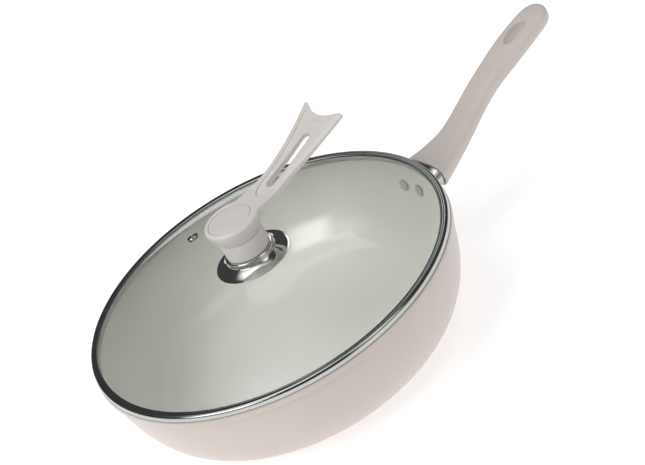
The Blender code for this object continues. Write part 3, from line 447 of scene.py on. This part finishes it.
def spread(low, high, count):
    """Evenly spaced values with both ends."""
    return [low + (high - low) * i / (count - 1) for i in range(count)]


def ease(share):
    """An ease from 0 to 1 with no slope at either end."""
    share = min(max(share, 0.0), 1.0)
    return share * share * (3 - 2 * share)


def worked(base, cuts, steps):
    """Adds or takes away other shapes, then runs modifier steps, and gives the result as one shape.

    cuts holds (shape, "UNION", "DIFFERENCE" or "INTERSECT") pairs, and steps (modifier, settings) pairs.
    """
    forms = []
    for shape in [base] + [cut for cut, _ in cuts]:
        mesh = bpy.data.meshes.new("form")
        closed_up(shape)
        shape.to_mesh(mesh)
        shape.free()
        forms.append(bpy.data.objects.new("form", mesh))
        bpy.context.scene.collection.objects.link(forms[-1])
    modifiers = forms[0].modifiers
    for form, (_, operation) in zip(forms[1:], cuts):
        cut = modifiers.new("cut", "BOOLEAN")
        cut.operation = operation
        cut.solver = "EXACT"
        cut.object = form
    for kind, settings in steps:
        step = modifiers.new(kind.lower(), kind)
        for name, value in settings.items():
            setattr(step, name, value)
    graph = bpy.context.evaluated_depsgraph_get()
    graph.update()
    shape = bmesh.new()
    shape.from_mesh(bpy.data.meshes.new_from_object(forms[0].evaluated_get(graph)))
    for form in forms:
        bpy.data.objects.remove(form)
    return shape


def corners(grown):
    """The points among what an extrusion gives back."""
    return [item for item in grown if isinstance(item, bmesh.types.BMVert)]


def drawn_through(count, place, sides=96):
    """A ring drawn through numbered stations: place(i, turn) is where the point at a turn lies."""
    shape = bmesh.new()
    turn = shape.verts.layers.float.new("turn")
    ring = bmesh.ops.create_circle(shape, segments=sides, radius=1.0)["verts"]
    for vert in ring:
        vert[turn] = math.atan2(vert.co.y, vert.co.x)
    edges = first = shape.edges[:]
    for i in range(count):
        if i:
            grown = bmesh.ops.extrude_edge_only(shape, edges=edges)["geom"]
            ring = corners(grown)
            inside = set(ring)
            lines = [item for item in grown if isinstance(item, bmesh.types.BMEdge)]
            edges = [line for line in lines if inside.issuperset(line.verts)]
        for vert in ring:
            vert.co = place(i, vert[turn])
    bmesh.ops.contextual_create(shape, geom=first)
    bmesh.ops.contextual_create(shape, geom=edges)
    return shape


def between(shape, under, over):
    """Turns a flat sheet into a solid from a lower face to an upper face."""
    top = shape.verts[:]
    grown = bmesh.ops.extrude_face_region(shape, geom=shape.faces[:])["geom"]
    for vert in corners(grown):
        vert.co.z = under(vert)
    for vert in top:
        vert.co.z = over(vert)
    return shape


def scored(shape, height, way):
    """Cuts a line round a shape where a flat plane at this height, square to a direction, meets it."""
    geom = shape.verts[:] + shape.edges[:] + shape.faces[:]
    bmesh.ops.bisect_plane(shape, geom=geom, plane_co=(0, 0, height), plane_no=way)


def one_skin(grain, soften):
    """Steps that draw one even skin over joined shapes and soften its edges, as moulding does."""
    return [
        ("REMESH", {"mode": "VOXEL", "voxel_size": grain}),
        ("SMOOTH", {"factor": 0.5, "iterations": soften}),
    ]


# ---------------------------------------------------------------- pan


def wall_curve(top_radius, bottom, end_radius, count, spare=0.0):
    """The pan's side as (radius, height, rounding): upright under the lip, rounding into the base."""
    top = PAN_TOP - LIP_HEIGHT
    reach = top_radius - CURVE_CENTRE
    end = math.acos(((end_radius - CURVE_CENTRE) / reach) ** (CORNER_OUT / 2))
    depth = (top - bottom) / math.sin(end) ** (2 / CORNER_UP)
    points = []
    for turn in spread(0.0, end, count):
        radius = CURVE_CENTRE + reach * math.cos(turn) ** (2 / CORNER_OUT)
        height = top - depth * math.sin(turn) ** (2 / CORNER_UP)
        points.append((radius + spare, height - spare, 0.0))
    return points


def outer_wall(count=56, spare=0.0):
    return wall_curve(RIM_RADIUS - LIP_STEP, 0.0, BASE_RADIUS, count, spare)


def inner_wall(count=56):
    return wall_curve(RIM_RADIUS - LIP_STEP - WALL, FLOOR, BASE_RADIUS - WALL, count)


def wall_at(height, points):
    """Radius of the wall and its lean from upright at a height."""
    for (high_radius, high, _), (low_radius, low, _) in zip(points, points[1:]):
        if low <= height <= high:
            share = (height - low) / (high - low)
            lean = math.atan2(high_radius - low_radius, high - low)
            return low_radius + (high_radius - low_radius) * share, lean
    raise ValueError("the height is not on the wall")


def make_pan():
    lip_bottom = PAN_TOP - LIP_HEIGHT
    lip_inner = RIM_RADIUS - LIP_WIDTH
    recess = plate_high.z + GAP
    profile = [(0.0, FLOOR, 0.0), (BASE_RADIUS * 0.5, FLOOR, 0.0)]
    profile += list(reversed(inner_wall()))
    profile += [
        (lip_inner, PAN_TOP, 0.9 * MM),
        (RIM_RADIUS, PAN_TOP, 1.1 * MM),
        (RIM_RADIUS, lip_bottom, 0.9 * MM),
    ]
    profile += outer_wall()
    profile += [
        (PLATE_RADIUS + GAP, 0.0, 0.12 * MM),
        (PLATE_RADIUS + GAP, recess, 0.0),
        (0.0, recess, 0.0),
    ]
    shape = spun(profile)
    for face in shape.faces:
        centre = face.calc_center_median()
        inward = face.normal.xy.dot(centre.xy) < 0 or face.normal.z > 0.9
        under_lip = centre.z < PAN_TOP - 0.8 * MM
        face.material_index = 1 if inward and under_lip and centre.z > FLOOR - 0.1 * MM else 0
    piece("pan_shell", shape, [OUTSIDE, INSIDE], "pan", ["pan_body"])

    profile = [
        (0.0, plate_high.z, 0.0),
        (PLATE_RADIUS, plate_high.z, 0.2 * MM),
        (PLATE_RADIUS, 0.0, 0.15 * MM),
        (0.0, 0.0, 0.0),
    ]
    piece("induction_plate", spun(profile), [PLATE], "pan", ["base_plate"])


def make_rivets():
    """Two coated rivets, square to the wall, whose low domed heads show inside the pan."""
    radius, lean = wall_at(RIVET_HEIGHT, inner_wall())
    seat = -2 * GAP
    back = RIVET_REACH + GAP
    dome = [
        (RIVET_HEAD, seat, 0.2 * MM),
        (RIVET_HEAD, seat - 0.35 * MM, 0.0),
        (RIVET_HEAD * 0.93, seat - 0.65 * MM, 0.0),
        (RIVET_HEAD * 0.78, seat - 0.88 * MM, 0.0),
        (RIVET_HEAD * 0.55, seat - 1.02 * MM, 0.0),
        (RIVET_HEAD * 0.28, seat - 1.09 * MM, 0.0),
        (0.0, seat - 1.1 * MM, 0.0),
    ]
    tail = [
        (0.0, RIVET_REACH + 1.7 * MM, 0.0),
        (RIVET_TAIL * 0.8, RIVET_REACH + 1.6 * MM, 0.3 * MM),
        (RIVET_TAIL, back, 0.1 * MM),
    ]
    shank = [(RIVET_SHANK, back, 0.0), (RIVET_SHANK, seat, 0.0)]
    for side, node in ((-1, "rivet_right"), (1, "rivet_left")):
        turn = math.asin(side * RIVET_SPACING / 2 / radius)
        place = Matrix.Rotation(turn, 4, "Z") @ Matrix.Translation((radius, 0, RIVET_HEIGHT))
        place = place @ Matrix.Rotation(math.pi / 2 + lean, 4, "Y")
        shape = spun(tail + shank + dome, SMALL_TURNS)
        bmesh.ops.transform(shape, matrix=place, verts=shape.verts)
        piece(node + "_head", shape, [RIVET], "pan", [node])


# ---------------------------------------------------------------- handle


def handle_section(share):
    """Height of the centre, width and depth of the handle at a share of its length."""
    stations = [
        (0.0, 0.0, 48.0, 21.0),
        (0.10, 0.05, 39.0, 18.4),
        (0.23, 0.17, 30.0, 16.4),
        (0.49, 0.60, 27.5, 14.5),
        (0.77, 0.89, 33.0, 14.0),
        (1.0, 1.06, 29.0, 13.4),
    ]
    shares = [station[0] for station in stations]
    rise, width, depth = (
        curve_through(shares, [station[i] for station in stations], share) for i in (1, 2, 3)
    )
    return HANDLE_BASE_HEIGHT + HANDLE_RISE * rise, width * MM, depth * MM


def curve_through(places, values, place):
    """A smooth curve through the stations, with each slope taken from its neighbours."""
    last = len(places) - 1
    i = max(k for k in range(last) if place >= places[k] or k == 0)

    def slope(k):
        low, high = max(k - 1, 0), min(k + 1, last)
        return (values[high] - values[low]) / (places[high] - places[low])

    span = places[i + 1] - places[i]
    t = (place - places[i]) / span
    bend = span * slope(i) * t * (1 - t) ** 2 - span * slope(i + 1) * t * t * (1 - t)
    return values[i] + (values[i + 1] - values[i]) * ease(t) + bend


def flattened(share):
    """A cosine or sine drawn towards its ends, which turns a circle into an oval with flatter sides."""
    return math.copysign(abs(share) ** (2 / HANDLE_SQUARENESS), share)


def drawn_out(sections):
    """A flat-sided oval drawn out along X through sections of (x, centre height, width, depth)."""

    def place(i, turn):
        x, centre, width, depth = sections[i]
        across, up = flattened(math.cos(turn)), flattened(math.sin(turn))
        return x, width / 2 * across, centre + depth / 2 * up

    return drawn_through(len(sections), place)


def make_handle():
    nose_share = 1 - HANDLE_NOSE / HANDLE_LENGTH
    sections = []
    for share in spread(0.0, nose_share, 60):
        sections.append((HANDLE_START + share * HANDLE_LENGTH, *handle_section(share)))
    for turn in spread(0.0, math.pi / 2, 14)[1:]:
        share = nose_share + (1 - nose_share) * math.sin(turn)
        centre, width, depth = handle_section(share)
        narrow = max(math.cos(turn), 0.02) ** 0.75
        thin = max(math.cos(turn), 0.05) ** 0.35
        sections.append((HANDLE_START + share * HANDLE_LENGTH, centre, width * narrow, depth * thin))
    socket = drawn_out(guard_sections(HANDLE_START - 2 * MM, guard_end + GAP, -GAP))
    cuts = [(socket, "DIFFERENCE"), (hang_hole(), "DIFFERENCE")]
    shape = worked(drawn_out(sections), cuts, one_skin(0.6 * MM, 6))
    piece("handle_moulding", shape, [SOFT], "pan", ["handle"], 180.0)


def hang_hole():
    """An egg-shaped hole square to the handle's end, opening out in a soft lip at each face."""
    share = 1 - HOLE_FROM_END / HANDLE_LENGTH
    far_share = 1 - (HOLE_FROM_END - HOLE_LENGTH) / HANDLE_LENGTH
    low = handle_section(share)[0]
    high = handle_section(far_share)[0]
    slope = math.atan2(high - low, HOLE_LENGTH)
    shape = bmesh.new()
    reach = 30 * MM
    bmesh.ops.create_cone(shape, cap_ends=True, segments=96, radius1=1.0, radius2=1.0, depth=2 * reach)
    levels = [(-8.2, 2.6), (-6.2, 0.6), (-5.0, 0.0), (5.0, 0.0), (6.2, 0.6), (8.2, 2.6)]
    for level, _ in levels:
        scored(shape, level * MM, (0, 0, 1))
    for vert in shape.verts:
        spare = max((s for level, s in levels if abs(vert.co.z) >= abs(level) * MM - 1e-6), default=0.0)
        turn = math.atan2(vert.co.y, vert.co.x)
        egg = 1.0 + HOLE_EGG * math.cos(turn)
        vert.co.x = (HOLE_LENGTH / 2 + spare * MM) * math.cos(turn)
        vert.co.y = (HOLE_WIDTH / 2 * egg + spare * MM) * math.sin(turn)
    middle = handle_high.x - HOLE_FROM_END + HOLE_LENGTH / 2
    place = Matrix.Translation((middle, 0, (low + high) / 2)) @ Matrix.Rotation(-slope, 4, "Y")
    bmesh.ops.transform(shape, matrix=place, verts=shape.verts)
    return shape


def guard_sections(start, end, inset):
    """The flame guard's sections between two places, from the pan to the handle's base."""
    _, width, depth = handle_section(0.0)
    wall = RIM_RADIUS - LIP_STEP
    sections = []
    for x in spread(start, end, 8):
        share = (x - wall) / (HANDLE_START - wall)
        centre = RIVET_HEIGHT + (HANDLE_BASE_HEIGHT - RIVET_HEIGHT) * share
        rim = 2 * (GUARD_RIM + inset)
        sections.append((x, centre, width - rim, depth - rim))
    return sections


def make_guard():
    """A polished steel sleeve that fits the pan's wall at one end and the handle's base at the other."""
    start = RIM_RADIUS - LIP_STEP - 12 * MM
    clear = [(0.0, PAN_TOP + GAP, 0.0), (RIM_RADIUS + GAP, PAN_TOP + GAP, 0.0)]
    clear += [(RIM_RADIUS + GAP, PAN_TOP - LIP_HEIGHT - GAP, 0.0)]
    clear += outer_wall(30, GAP) + [(0.0, -GAP, 0.0)]
    corner = math.radians(50)
    eased = {"width": 0.15 * MM, "segments": 2, "limit_method": "ANGLE", "angle_limit": corner}
    bore = drawn_out(guard_sections(start - MM, guard_end + MM, GUARD_SHEET))
    tube = drawn_out(guard_sections(start, guard_end, 0.0))
    cuts = [(bore, "DIFFERENCE"), (spun(clear, 256), "DIFFERENCE")]
    shape = worked(tube, cuts, [("BEVEL", eased)])
    piece("flame_guard_sleeve", shape, [GUARD], "pan", ["flame_guard"])


# ---------------------------------------------------------------- lid


def dome_height(radius):
    """Height of the glass's outer face."""
    return APEX - DOME_SPHERE + math.sqrt(DOME_SPHERE**2 - radius**2)


def dome_place(distance):
    """On the glass's outer face towards +Y, square to it."""
    lean = math.asin(distance / DOME_SPHERE)
    return Matrix.Translation((0, distance, dome_height(distance))) @ Matrix.Rotation(-lean, 4, "X")


def make_lid():
    radii = spread(GLASS_HOLE, DOME_RADIUS, 44)
    outer = [(radius, dome_height(radius), 0.0) for radius in radii]
    inner = [(radius, height - GLASS_THICKNESS, 0.0) for radius, height, _ in reversed(outer)]
    bottom = GLASS_TOP - GLASS_THICKNESS
    rim = [(GLASS_RADIUS, GLASS_TOP, 0.8 * MM), (GLASS_RADIUS, bottom, 0.8 * MM)]
    shape = spun(outer + rim + inner, TURNS, ring=True)
    piece("glass_dome", shape, [GLASS], "lid", ["lid_glass"])

    flange = BAND_RADIUS - BAND_FLANGE
    skirt = RIM_RADIUS - LIP_WIDTH - 0.7 * MM
    sheet = BAND_SHEET
    # The upper face rolls over in a small bead at the glass, a shallow valley and a round shoulder.
    roll = [(0.0, -0.2), (0.35, 0.08), (0.9, 0.14), (1.4, 0.02), (2.0, -0.1), (2.7, -0.04), (3.5, 0.1)]
    roll += [(4.2, 0.12), (4.9, 0.0), (5.5, -0.32), (5.95, -0.8), (6.25, -1.4), (6.4, -2.1)]
    profile = [(flange + out * MM, BAND_TOP + up * MM, 0.0) for out, up in roll]
    profile += [
        (BAND_RADIUS, BAND_BOTTOM, 0.6 * MM),
        (skirt, BAND_BOTTOM, 0.2 * MM),
        (skirt, band_low.z, 0.16 * MM),
        (skirt - sheet, band_low.z, 0.16 * MM),
        (skirt - sheet, BAND_BOTTOM + sheet, 0.2 * MM),
        (BAND_RADIUS - sheet, BAND_BOTTOM + sheet, 0.2 * MM),
        (BAND_RADIUS - sheet, BAND_TOP - sheet, 0.4 * MM),
        (flange, BAND_TOP - sheet, 0.16 * MM),
    ]
    piece("rim_band", spun(profile, TURNS, ring=True), [BAND], "lid", ["lid_band"])


def make_vent():
    """The steam hole's eyelet, rolled over on both faces of the glass."""
    flange = vent_high.x
    low = -GLASS_THICKNESS - GAP
    profile = [
        (VENT_HOLE, 0.7 * MM, 0.2 * MM),
        (VENT_HOLE + 0.9 * MM, 1.6 * MM, 0.4 * MM),
        (flange - 0.6 * MM, 1.2 * MM, 0.35 * MM),
        (flange, GAP, 0.1 * MM),
        (VENT_SLEEVE, GAP, 0.0),
        (VENT_SLEEVE, low, 0.0),
        (flange - 0.4 * MM, low, 0.1 * MM),
        (flange - 0.8 * MM, low - 0.8 * MM, 0.3 * MM),
        (VENT_HOLE, low - 0.8 * MM, 0.2 * MM),
    ]
    shape = spun(profile, SMALL_TURNS, ring=True)
    bmesh.ops.transform(shape, matrix=dome_place(VENT_DISTANCE), verts=shape.verts)
    piece("vent_eyelet", shape, [BAND], "lid", ["vent_grommet"])


# ---------------------------------------------------------------- knob


def make_saucer():
    """The chromed saucer: a collar that flares into a wide shallow brim."""
    top = saucer_high.z
    fall = top - COLLAR_DEPTH
    edge = saucer_high.x
    brim = saucer_low.z + SAUCER_SHEET
    hole = SPIGOT + GAP
    outer = [(hole, top, 0.1 * MM), (COLLAR_RADIUS, top, 1.1 * MM), (COLLAR_RADIUS, fall, 0.5 * MM)]
    for t in spread(0.0, 1.0, 26)[1:]:
        radius = COLLAR_RADIUS + (edge - COLLAR_RADIUS) * t
        outer.append((radius, brim + (fall - brim) * (1 - t) ** 1.8, 0.2 * MM if t == 1 else 0.0))
    inner = [(radius - SAUCER_SHEET * 0.7, height - SAUCER_SHEET, 0.0) for radius, height, _ in outer[2:]]
    inner = [(hole, top - SAUCER_SHEET, 0.0), (COLLAR_RADIUS - 1.6 * MM, top - SAUCER_SHEET, 0.0)] + inner
    shape = spun(outer + list(reversed(inner)), 128, ring=True)
    piece("chrome_saucer", shape, [CHROME], "lid", ["knob_base"])


def make_neck():
    foot = saucer_high.z + GAP
    top = neck_high.z
    profile = [
        (0.0, top, 0.0),
        (NECK_RADIUS, top, 0.35 * MM),
        (NECK_RADIUS, foot, 0.6 * MM),
        (SPIGOT, foot, 0.0),
        (SPIGOT, neck_low.z, 0.3 * MM),
        (0.0, neck_low.z, 0.0),
    ]
    piece("knob_neck_moulding", spun(profile, 128), [KNOB], "knob", ["knob_neck"])


def arm_half(x):
    """Half the arm's width."""
    flare = min(max((x - ARM_FLARE_START) / (ARM_REACH - ARM_FLARE_START), 0.0), 1.0)
    return ARM_ROOT + (ARM_TIP - ARM_ROOT) * flare**ARM_FLARE_POWER


def arm_face(x, across):
    """The upper face: level over the cap, sweeping up to the fork, a little proud between two crests."""
    rise = ARM_RISE * max(0.0, (x - ARM_BEND) / (ARM_REACH - ARM_BEND)) ** ARM_RISE_POWER
    outside = max(0.0, (abs(across) - ARM_CREST_SHARE) / (1 - ARM_CREST_SHARE))
    crest = ARM_CREST * ease((x - ARM_BEND) / ARM_CREST_RUN) * (1 - outside**2)
    return CAP_TOP + rise + crest


def arm_under(x, across):
    """The underside, which bellies down between thin edges and meets the cap in a soft fillet."""
    share = min(max((x - ARM_BEND) / (ARM_REACH - ARM_BEND), 0.0), 1.0)
    middle, edge = (low + share * (high - low) for low, high in (ARM_MIDDLE, ARM_EDGE))
    fillet = ARM_FILLET * (1 - ease((x - 20 * MM) / (12 * MM)))
    return arm_face(x, 1.0) - middle - (edge - middle) * across**2 - fillet


def notch(across):
    """How far the fork's hollow end lies behind its prongs, across the arm from -1 to 1."""
    wide = 1 - PRONG_WIDTH / ARM_TIP
    return NOTCH_DEPTH * max(0.0, 1 - (across / wide) ** 2)


def arm_blade():
    """The arm: a grid laid out to its plan, between its upper face and its underside."""
    start = NECK_RADIUS * 0.45
    shape = bmesh.new()
    share = shape.verts.layers.float.new("across")
    bmesh.ops.create_grid(shape, x_segments=150, y_segments=64, size=1.0)
    for vert in shape.verts:
        vert[share] = vert.co.y
        tip = ARM_REACH - notch(vert[share])
        vert.co.x = start + (tip - start) * (vert.co.x + 1) / 2
        vert.co.y = vert[share] * arm_half(vert.co.x)
    return between(
        shape,
        lambda vert: arm_under(vert.co.x, vert[share]),
        lambda vert: arm_face(vert.co.x, vert[share]),
    )


def trough_tool():
    """What is pressed into the arm's face: the arm's own outline drawn in, with a rounded root."""
    shape = bmesh.new()
    bmesh.ops.create_grid(shape, x_segments=110, y_segments=40, size=1.0)
    for vert in shape.verts:
        across = vert.co.y
        tip = ARM_REACH - TROUGH_INSET * 0.8 - notch(across * 0.8)
        vert.co.x = TROUGH_START + (tip - TROUGH_START) * (vert.co.x + 1) / 2
        root = min(1.0, (vert.co.x - TROUGH_START) / TROUGH_ROOT)
        half = (arm_half(vert.co.x) - TROUGH_INSET) * math.sqrt(max(0.0, 1 - (1 - root) ** 2))
        vert.co.y = across * max(half, 0.02 * MM)
    return between(
        shape,
        lambda vert: arm_face(vert.co.x, 0.0) - TROUGH_DEPTH,
        lambda vert: arm_face(vert.co.x, 0.0) + 6 * MM,
    )


def slot_tool():
    """A long slot with round ends, through the arm."""
    shape = bmesh.new()
    low = cover_low.z - 20 * MM
    depth = arm_high.z + 10 * MM - low
    radius = SLOT_WIDTH / 2
    bmesh.ops.create_cone(
        shape, cap_ends=True, segments=48, radius1=radius, radius2=radius, depth=depth
    )
    half = (SLOT_LENGTH - SLOT_WIDTH) / 2
    scored(shape, 0.0, (1, 0, 0))
    for vert in shape.verts:
        if abs(vert.co.x) > 0.01 * MM:
            vert.co.x += math.copysign(half, vert.co.x)
    middle = (SLOT_START + SLOT_LENGTH / 2, 0, low + depth / 2)
    bmesh.ops.translate(shape, vec=middle, verts=shape.verts)
    return shape


def oval_column(levels, length, width, centre=0.0):
    """An upright oval column through (height, spare) levels, its spare added all round."""

    def place(i, turn):
        height, spare = levels[i]
        along = (length + spare) * math.cos(turn)
        return centre + along, (width + spare) * math.sin(turn), height

    return drawn_through(len(levels), place)


def make_arm():
    """Cap and arm are one moulding, with a soft round cover let into the cap."""
    foot = neck_high.z + GAP
    rise = CAP_TOP - foot
    shape = oval_column([(foot + rise * t, 0.0) for t in spread(0.0, 1.0, 30)], 1.0, 1.0)
    for vert in shape.verts:
        t = (vert.co.z - foot) / rise
        bowl = math.sin(min(t / BOWL_SHARE, 1.0) * math.pi / 2) ** 1.25
        lip = BOWL_CURL * max(0.0, (t - BOWL_SHARE) / (1 - BOWL_SHARE)) ** 2
        vert.co.x *= NECK_RADIUS + (CAP_LENGTH - NECK_RADIUS) * bowl - lip
        vert.co.y *= NECK_RADIUS + (CAP_HALF_WIDTH - NECK_RADIUS) * bowl - lip
    length = (cover_high.x - cover_low.x) / 2
    width = cover_high.y
    centre = (cover_high.x + cover_low.x) / 2
    pocket = [(cover_low.z - GAP, GAP), (CAP_TOP + 5 * MM, GAP)]
    cuts = [
        (arm_blade(), "UNION"),
        (trough_tool(), "DIFFERENCE"),
        (slot_tool(), "DIFFERENCE"),
        (oval_column(pocket, length, width, centre), "DIFFERENCE"),
    ]
    shape = worked(shape, cuts, one_skin(0.4 * MM, 3))
    piece("knob_arm_moulding", shape, [KNOB], "knob", ["knob_arm"], 180.0)

    crown = cover_high.z - COVER_EDGE
    levels = [(cover_low.z, 0.0), (COVER_EDGE, 0.0)]
    for turn in spread(0.0, math.pi / 2, 12)[1:-1]:
        levels.append((COVER_EDGE + crown * math.sin(turn), (math.cos(turn) ** 0.9 - 1) * width))
    shape = oval_column(levels, length, width, centre)
    closed_up(shape)
    piece("knob_cover_cap", shape, [COVER], "knob", ["knob_cover"], 40.0)


def make_underside():
    """The screw and washer under the middle of the glass."""
    profile = [
        (SCREW_HOLE, washer_high.z, 0.1 * MM),
        (washer_high.x, washer_high.z, 0.15 * MM),
        (washer_high.x, washer_low.z, 0.3 * MM),
        (SCREW_HOLE, washer_low.z, 0.1 * MM),
    ]
    shape = spun(profile, SMALL_TURNS, ring=True)
    piece("screw_washer", shape, [WASHER], "knob", ["knob_washer"])

    head = screw_high.x
    under = washer_low.z - GAP
    bottom = screw_low.z
    profile = [
        (0.0, screw_high.z, 0.0),
        (SCREW_SHANK, screw_high.z, 0.5 * MM),
        (SCREW_SHANK, under, 0.0),
        (head, under, 0.2 * MM),
        (head, bottom + 1.4 * MM, 0.0),
        (head * 0.93, bottom + 0.7 * MM, 0.0),
        (head * 0.75, bottom + 0.2 * MM, 0.0),
        (head * 0.5, bottom, 0.0),
        (0.0, bottom, 0.0),
    ]
    cross = []
    for size in ((CROSS_LENGTH, CROSS_WIDTH), (CROSS_WIDTH, CROSS_LENGTH)):
        bar = bmesh.new()
        bmesh.ops.create_cube(bar, size=1.0)
        bmesh.ops.scale(bar, vec=(*size, 2 * CROSS_DEPTH), verts=bar.verts)
        bmesh.ops.translate(bar, vec=(0, 0, bottom), verts=bar.verts)
        cross.append((bar, "DIFFERENCE"))
    shape = worked(spun(profile, SMALL_TURNS), cross, [])
    piece("centre_screw", shape, [WASHER], "knob", ["knob_screw"], 35.0)


# ---------------------------------------------------------------- what stays as it is in the frame

for node, finish in {
    "handle_bracket": BRACKET,
    "handle_screw": WASHER,
    "handle_washer": WASHER,
    "knob_seal_upper": SEAL,
    "knob_seal_lower": SEAL,
    "knob_insert": BRASS,
    "arm_screw_front": WASHER,
    "arm_screw_back": WASHER,
}.items():
    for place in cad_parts[node].material_slots:
        place.material = finish.material

make_pan()
make_rivets()
make_handle()
make_guard()
make_lid()
make_vent()
make_saucer()
make_neck()
make_arm()
make_underside()


# ---------------------------------------------------------------- floor, lamps and camera

FLOOR_GLOW = 0.5
ROOM_IN_POLISH = 0.06
ROOM_ON_MATT = 0.30
CAMERA_TURN = 22.0
CAMERA_TILT = 30.68
CAMERA_ROLL = 29.60
CAMERA_LENS = 139.53
# Where the camera stands from the middle of the rim, to its right, up and back, in rim radii
CAMERA_PLACE = (0.2858, 0.2273, 12.6)


def make_floor():
    shape = bmesh.new()
    bmesh.ops.create_grid(shape, x_segments=1, y_segments=1, size=6.0)
    mesh = bpy.data.meshes.new("floor")
    shape.to_mesh(mesh)
    shape.free()
    floor = bpy.data.objects.new("floor", mesh)
    bpy.context.scene.collection.objects.link(floor)
    finish = Finish("floor_paper", (0.86, 0.86, 0.86), Roughness=0.9, Specular_IOR_Level=0.0)
    finish.shader.inputs["Emission Color"].default_value = (1.0, 1.0, 1.0, 1.0)
    finish.shader.inputs["Emission Strength"].default_value = FLOOR_GLOW
    mesh.materials.append(finish.material)


def lamp(name, turn, height, distance, size, power, fade=0.0):
    """A soft box that faces the pan from a direction: turn round the pan, and height, in degrees.

    The fade is the share of its width over which it dims towards its edges.
    """
    turn, height = math.radians(turn), math.radians(height)
    flat = math.cos(height)
    way = Vector((math.cos(turn) * flat, math.sin(turn) * flat, math.sin(height)))
    light = bpy.data.lights.new(name, "AREA")
    light.shape = "RECTANGLE"
    light.size, light.size_y = size
    light.energy = power
    if fade:
        light.use_nodes = True
        nodes = Nodes(light.node_tree)
        spot = nodes.node("ShaderNodeNewGeometry", {}, {}, "Parametric")
        shown = 1.0
        for axis in "XY":
            along = nodes.node("ShaderNodeSeparateXYZ", {}, {"Vector": spot}, axis)
            shown = nodes.ramp(along, 0.0, fade) * nodes.ramp(1.0 - along, 0.0, fade) * shown
        nodes.tree.links.new(shown.socket, nodes.tree.nodes["Emission"].inputs["Strength"])
    made = bpy.data.objects.new(name, light)
    facing = way.to_track_quat("Z", "Y").to_matrix().to_4x4()
    made.matrix_world = Matrix.Translation(way * distance) @ facing
    bpy.context.scene.collection.objects.link(made)


def make_light():
    lamp("key", 186.0, 42.0, 2.0, (1.3, 1.1), 13.0)
    lamp("fill", -72.0, 24.0, 2.2, (1.3, 1.0), 2.4)
    lamp("front", -50.0, 64.0, 2.2, (1.2, 1.2), 13.0, 0.4)
    lamp("overhead", 110.0, 76.0, 2.1, (2.2, 2.2), 29.0, 0.42)
    lamp("window", 60.0, 35.0, 1.7, (0.26, 0.42), 0.55, 0.34)
    world = bpy.data.worlds.new("studio")
    bpy.context.scene.world = world
    world.use_nodes = True
    tree = world.node_tree
    shown = tree.nodes["Background"]
    shown.inputs["Color"].default_value = (1.0, 1.0, 1.0, 1.0)
    lit = tree.nodes.new("ShaderNodeBackground")
    lit.inputs["Color"].default_value = (0.96, 0.98, 1.0, 1.0)
    path = tree.nodes.new("ShaderNodeLightPath")
    # The room lights matt surfaces softly and looks dark in polished ones.
    strength = tree.nodes.new("ShaderNodeMapRange")
    strength.inputs["To Min"].default_value = ROOM_IN_POLISH
    strength.inputs["To Max"].default_value = ROOM_ON_MATT
    tree.links.new(path.outputs["Is Diffuse Ray"], strength.inputs["Value"])
    tree.links.new(strength.outputs[0], lit.inputs["Strength"])
    mix = tree.nodes.new("ShaderNodeMixShader")
    tree.links.new(path.outputs["Is Camera Ray"], mix.inputs[0])
    tree.links.new(lit.outputs[0], mix.inputs[1])
    tree.links.new(shown.outputs[0], mix.inputs[2])
    tree.links.new(mix.outputs[0], tree.nodes["World Output"].inputs["Surface"])


def make_camera():
    turn, tilt, roll = map(math.radians, (CAMERA_TURN, CAMERA_TILT, CAMERA_ROLL))
    away = Vector((math.sin(turn), math.cos(turn), 0.0))
    across = Vector((math.cos(turn), -math.sin(turn), 0.0))
    upright = away * math.sin(tilt) + Vector((0, 0, math.cos(tilt)))
    forward = away * math.cos(tilt) - Vector((0, 0, math.sin(tilt)))
    right = across * math.cos(roll) - upright * math.sin(roll)
    up = across * math.sin(roll) + upright * math.cos(roll)
    aside, above, back = CAMERA_PLACE
    spot = Vector((0, 0, BAND_TOP)) + (right * aside + up * above - forward * back) * BAND_RADIUS
    data = bpy.data.cameras.new("camera")
    data.lens = CAMERA_LENS
    data.sensor_width = 36.0
    data.clip_start = 0.05
    camera = bpy.data.objects.new("camera", data)
    turned = Matrix((right, up, -forward)).transposed().to_4x4()
    camera.matrix_world = Matrix.Translation(spot) @ turned
    bpy.context.scene.collection.objects.link(camera)
    bpy.context.scene.camera = camera


make_floor()
make_light()
make_camera()
bpy.context.scene.view_settings.view_transform = "Standard"
